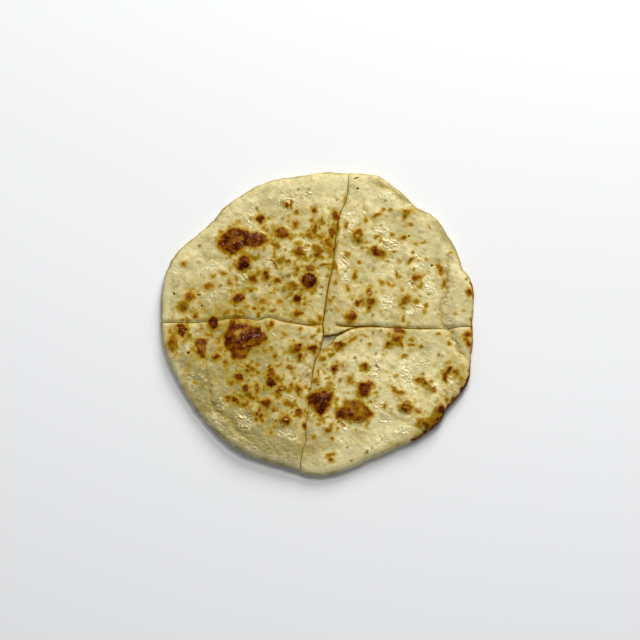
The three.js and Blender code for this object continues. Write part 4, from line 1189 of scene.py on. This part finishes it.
# Where fat lies on the scorches and wets them: X, Y, half width, half depth, amount
wetMarks = [
    (-53, 52, 8, 6, 0.5), (-4, 30, 3, 4, 0.6), (-54, -15, 4, 6, 0.45), (-46, -10, 6, 3, 0.35),
    (24, -63, 9, 3, 0.8), (20, -57, 5, 4, 0.3), (57, -56, 5, 3, 0.7), (70, -40, 7, 4, 0.7),
    (2, -53, 4, 5, 0.25), (-46, 39, 3, 4, 0.4), (-88, -12, 4, 10, 0.5), (-72, -14, 3, 5, 0.4),
    (84, -33, 3, 5, 0.4), (27, 57, 4, 4, 0.8), (81, 30, 3, 10, 0.5), (65, 31, 5, 6, 0.6),
    (33, 17, 3, 6, 0.5), (57, 15, 4, 4, 0.5), (-11, 46, 4, 4, 0.6), (0, 46, 4, 3, 0.5),
]
# Scorch along the rim's side, with faint painted shade on the back rim: direction and half width in
# degrees, how dark, reach in from the rim
rimScorchAndShade = [
    (-2, 4, 0.6, 1.4), (-8, 5, 0.6, 1.1), (-14, 6, 0.75, 0.9), (-22, 5, 0.95, 1.6), (-29, 6, 0.85, 1.0),
    (-36, 4, 0.95, 1.6), (-43, 5, 0.84, 1.2), (-49, 3, 0.78, 1.1), (12, 3, 0.7, 1.2), (20, 6, 0.4, 0.8),
    # the three faint entries at 62, 106 and 152 degrees darken the back rim as painted shade
    (128.7, 1.2, 0.9, 1.1), (62, 20, 0.14, 1.2), (106, 16, 0.1, 1.0), (152, 14, 0.12, 0.9),
]
toning = {
    "plain": 0.68,             # from 0 olive to 1 cream
    "shoulderShadeWidth": 1.3,      # painted shade where the rim turns down to the side, most at the back
    "shoulderShadeFront": 0.7,
    "shoulderShadeBackMore": 0.5,
    # painted shade on the folds' floors
    "foldShade": 0.3,
    # painted highlight: the wrinkled, buttery patches are made paler
    "wrinkleHighlight": 0.3,
    "cutShade": 0.3,           # painted shade along the cuts, in golden brown
    # painted shade along the torn edge
    "tearShade": 0.15,
}
greasing = {
    "bare": 0.06,              # the butter's film on plain crust
    "runs": 0.25,              # and where it has run
    "onScorch": 0.12,
}


def setAttribute(mesh, name, values):
    attribute = mesh.attributes.new(name, "FLOAT", "POINT")
    attribute.data.foreach_set("value", np.asarray(values, np.float32))


def rimScorchAndShadeAt(x, y, z):
    angle = np.arctan2(y, x)
    wander = layeredNoise(x, y, (1, 4, 101), (0.6, 1.8, 102))
    inset = insetAt(x, y) + 0.8 * wander
    dark = np.zeros_like(x)
    for direction, halfWidth, strength, reach in rimScorchAndShade:
        turned = np.abs(degreesFrom(angle, direction)) + 1.2 * wander
        near = 1 - smoothStep(0.4 * reach, 1.5 * reach, inset)
        dark = np.maximum(dark, strength * near * (1 - smoothStep(0.5, 1.5, turned / halfWidth)))
    return dark * smoothStep(0.2, 1.4, z)


def crustScorch(x, y, z, upper):
    # painted shade along the cuts, wider near the middle, and along the torn edge
    cutShade = 0.6 + 0.6 * softNoise(x, y, 6, 111) + hump(np.hypot(x - 15, y), 40)
    cutShade *= toning["cutShade"] * hump(sample(cutDistance, x, y), 0.9)
    cutShade += toning["tearShade"] * hump(sample(tornDistance, x, y), 0.6)
    # golden-olive colour on the folds' floors, which also darkens them as painted shade
    foldStainAndShade = sample(foldShadeField, x, y) * (0.14 + 0.1 * softNoise(x, y, 7, 115))
    onTop = [sample(scorchField, x, y), cutShade, foldStainAndShade, sample(holeField, x, y)]
    beneath = (1 - upper) * sample(underScorch, x, y)
    return np.maximum.reduce([*[upper * scorch for scorch in onTop], beneath, rimScorchAndShadeAt(x, y, z)])


# The dough's tone, with painted shade and painted light laid into it
def crustToneAndShade(x, y, z, upper):
    # painted shade on the rim's turn down to the side, most at the back
    shoulderShade = hump(insetAt(x, y), toning["shoulderShadeWidth"]) * smoothStep(2.2, 4.6, z)
    shoulderShade *= 0.8 + 0.6 * softNoise(x, y, 6, 116)
    toneAndShade = toning["plain"] + 0.1 * softNoise(x, y, 26, 112)
    toneAndShade -= (toning["shoulderShadeFront"] + toning["shoulderShadeBackMore"] * smoothStep(-15, 15, y)) * shoulderShade
    # painted shade on the folds' floors
    toneAndShade -= toning["foldShade"] * sample(foldShadeField, x, y)
    # broad patches of painted shade and painted light, mixed with the dough's own tone
    for blobX, blobY, reach, change in toneShadeAndLightBlobs:
        toneAndShade += change * hump(np.hypot(x - blobX, y - blobY), reach)
    # painted shade and painted light in strips along the rim
    for change, width, line in paintedShadeAndLightStrips:
        toneAndShade += change * hump(distanceToLine(x, y, line), width)
    # painted highlight on the wrinkled patches
    toneAndShade += toning["wrinkleHighlight"] * sample(wrinkled, x, y)
    return upper * toneAndShade + (1 - upper) * (toning["plain"] + 0.2 * softNoise(x, y, 16, 117))


def crustButter(x, y, upper, scorch):
    greased = greasing["bare"] + greasing["runs"] * np.clip(softNoise(x, y, 11, 113), 0, 1)
    greased = (greased + sample(wrinkled, x, y)) * (1 - 0.75 * smoothStep(0.2, 0.55, scorch))
    wetness = np.full(np.shape(x), greasing["onScorch"])
    for wetX, wetY, halfWidth, halfDepth, amount in wetMarks:
        wetness += amount * hump(np.hypot((x - wetX) / halfWidth, (y - wetY) / halfDepth), 1)
    greased += wetness * smoothStep(0.2, 0.6, scorch) * np.clip(2 * softNoise(x, y, 2.6, 114) + 0.1, 0, 1)
    return upper * np.clip(greased, 0, 1)


def dressCrust(dough):
    # the attributes that the crust's material reads
    x, y, z = pointsOf(dough).T
    upper = smoothStep(1.2, 3.4, z)
    scorch = crustScorch(x, y, z, upper)
    setAttribute(dough.data, "scorch", scorch)
    setAttribute(dough.data, "freckle", upper * sample(freckleField, x, y))
    setAttribute(dough.data, "toneAndShade", crustToneAndShade(x, y, z, upper))
    setAttribute(dough.data, "butter", crustButter(x, y, upper, scorch))


cheese = {
    "inset": 16,               # how far inside the rim it ends
    "floor": 2.7,
    "height": 1.5,
    "clearance": 0.3,
    "waves": 0.12,
    "fit": 0.04,               # how much thinner than its pocket it is, at the top and underneath
    "sideFit": 0.1,
    "rings": 90,
}
cheeseRoof = cheese["floor"] + cheese["height"] + 2 * cheese["clearance"]


def cheeseDisc():
    # a thin disc with a softly waved top, a hair smaller than the pocket it lies in
    count, waves = cheese["rings"], cheese["waves"]
    floor, ceiling = cheese["floor"] + cheese["fit"], cheeseRoof - cheese["fit"]
    rings = []
    for onTop in (True, False):
        for k in range(1, count + 1) if onTop else range(count, 0, -1):
            angle = turnsOf(6 * k)
            x, y = onRing(angle, k / count * (rimRadius(angle) - cheese["inset"] - cheese["sideFit"]))
            wave = layeredNoise(x, y, (1, 7, 131), (0.5, 3, 132))
            top = ceiling - waves + waves * np.clip(wave, -1, 1)
            rings.append(np.column_stack([x, y, top if onTop else np.full(len(x), floor)]))
    return discFromRings("wholeCheese", rings, count, ceiling - waves, floor)


# The bread is made whole, gets its pocket for the cheese, and is then cut as with a knife
wholeBread = breadDisc()
wholeBread.data.materials.append(crustMaterial)
print("bread mesh:", len(wholeBread.data.vertices), "points")

pocketAngle = turnsOf(720)
pocketOutline = np.column_stack(onRing(pocketAngle, rimRadius(pocketAngle) - cheese["inset"]))
pocket = slab("pocket", pocketOutline, cheese["floor"], cheeseRoof)
blades = [
    blade(name, line, cutting["rightGap"] if name == "rightCut" else cutting["gap"])
    for name, line in cutLines.items()
]
slitBlade = blade("tabSlit", tabSlit, cutting["slitGap"], cutting["slitDepth"])
carve(wholeBread, [pocket, *blades, slitBlade], crumbMaterial)
print("bread cut with", len(blades), "blades and a slit")
doughQuarters = quartersOf(wholeBread, "dough")

# The torn top layer of the front right quarter is taken off down to the cheese
patchOutline = smoothLine(tornRim, 0.5)
for axis, seed in ((0, 121), (1, 122)):
    patchOutline[:, axis] += cutting["tearWander"] * softNoise(*patchOutline.T, 2.4, seed)
patchTop = np.concatenate([patchOutline, tornBack])[::-1]
patchCutter = slab("tornPatch", patchTop, cheese["floor"] + cheese["height"], 20)
carve(doughQuarters["front_right"], [patchCutter], crumbMaterial)
doughQuarters["front_right"] = looseParts(doughQuarters["front_right"], 1)[0]
for place, dough in doughQuarters.items():
    dressCrust(dough)
    finishQuarter(dough, "dough_" + place)

wholeCheese = cheeseDisc()
wholeCheese.data.materials.append(cheeseMaterial)
grooveBlade = blade("tearGroove", tearGroove, cutting["grooveGap"], cutting["grooveDepth"])
carve(wholeCheese, [*blades, grooveBlade], cheeseMaterial)
for place, piece in quartersOf(wholeCheese, "cheese").items():
    finishQuarter(piece, "cheese_" + place)
for tool in [pocket, slitBlade, patchCutter, grooveBlade, *blades]:
    bpy.data.objects.remove(tool)

studio = {
    "floor": "#f3f6fc",
    "floorReach": 3000,
    "keyPlace": (0.62, 1.9, 1.2),      # metres
    "keyPower": 47,
    "keySize": 1.2,
    "keyColour": "#fffdf8",
    "sparkPlaces": [(0.21, 0.69, 1.43), (-0.27, 0.6, 1.45), (0.43, 0.48, 1.47), (0.06, 0.83, 1.36)],
    "sparkPower": 2.4,                 # small lamps that make the butter glint
    "sparkSize": 0.11,
    "sparkColour": "#fffaf0",
    "sky": "#eef0f4",
    "skyStrength": 0.225,
}


def areaLight(name, place, power, size, colour):
    data = bpy.data.lights.new(name, "AREA")
    data.shape = "DISK"
    data.energy, data.size, data.color = power, size, linear(colour)[:3]
    light = bpy.data.objects.new(name, data)
    light.location = place
    light.rotation_euler = (-Vector(place)).to_track_quat("-Z", "Y").to_euler()
    bpy.context.scene.collection.objects.link(light)


# Plain matte paper, which only takes the bread's soft shadow
floorMaterial, floorTree = newMaterial("paleMattePaper")
floorShader = addNode(floorTree, "ShaderNodeBsdfPrincipled", None, {
    "Base Color": linear(studio["floor"]), "Roughness": 0.8, "Specular IOR Level": 0.2,
})
addNode(floorTree, "ShaderNodeOutputMaterial", None, {"Surface": floorShader.outputs[0]})
floorCorners = [(x * studio["floorReach"], y * studio["floorReach"], 0) for x, y in
                ((-1, -1), (1, -1), (1, 1), (-1, 1))]
floor = makeObject("floor", floorCorners, [(0, 1, 2, 3)], smooth=False)
floor.data.materials.append(floorMaterial)

areaLight("keyLight", studio["keyPlace"], studio["keyPower"], studio["keySize"], studio["keyColour"])
for k, place in enumerate(studio["sparkPlaces"]):
    areaLight("sparkLight" + str(k + 1), place, studio["sparkPower"], studio["sparkSize"],
              studio["sparkColour"])

world = bpy.data.worlds.new("paleRoom")
world.use_nodes = True
world.node_tree.nodes["Background"].inputs["Color"].default_value = linear(studio["sky"])
world.node_tree.nodes["Background"].inputs["Strength"].default_value = studio["skyStrength"]
bpy.context.scene.world = world
bpy.context.scene.view_settings.view_transform = "Standard"

photo = {
    "elevation": 78.2,       # degrees above the floor
    "distance": 2.4,         # metres
    "lens": 209.8,
    "target": (0.00149, 0.00146, 0.005),
}
cameraData = bpy.data.cameras.new("photoCamera")
cameraData.lens, cameraData.sensor_width = photo["lens"], 36
cameraData.clip_start, cameraData.clip_end = 0.01, 20
camera = bpy.data.objects.new("photoCamera", cameraData)
elevation = math.radians(photo["elevation"])
away = Vector((0, -math.cos(elevation), math.sin(elevation)))
camera.location = Vector(photo["target"]) + away * photo["distance"]
camera.rotation_euler = (-away).to_track_quat("-Z", "Y").to_euler()
bpy.context.scene.collection.objects.link(camera)
bpy.context.scene.camera = camera
print("floor, lights and camera set")
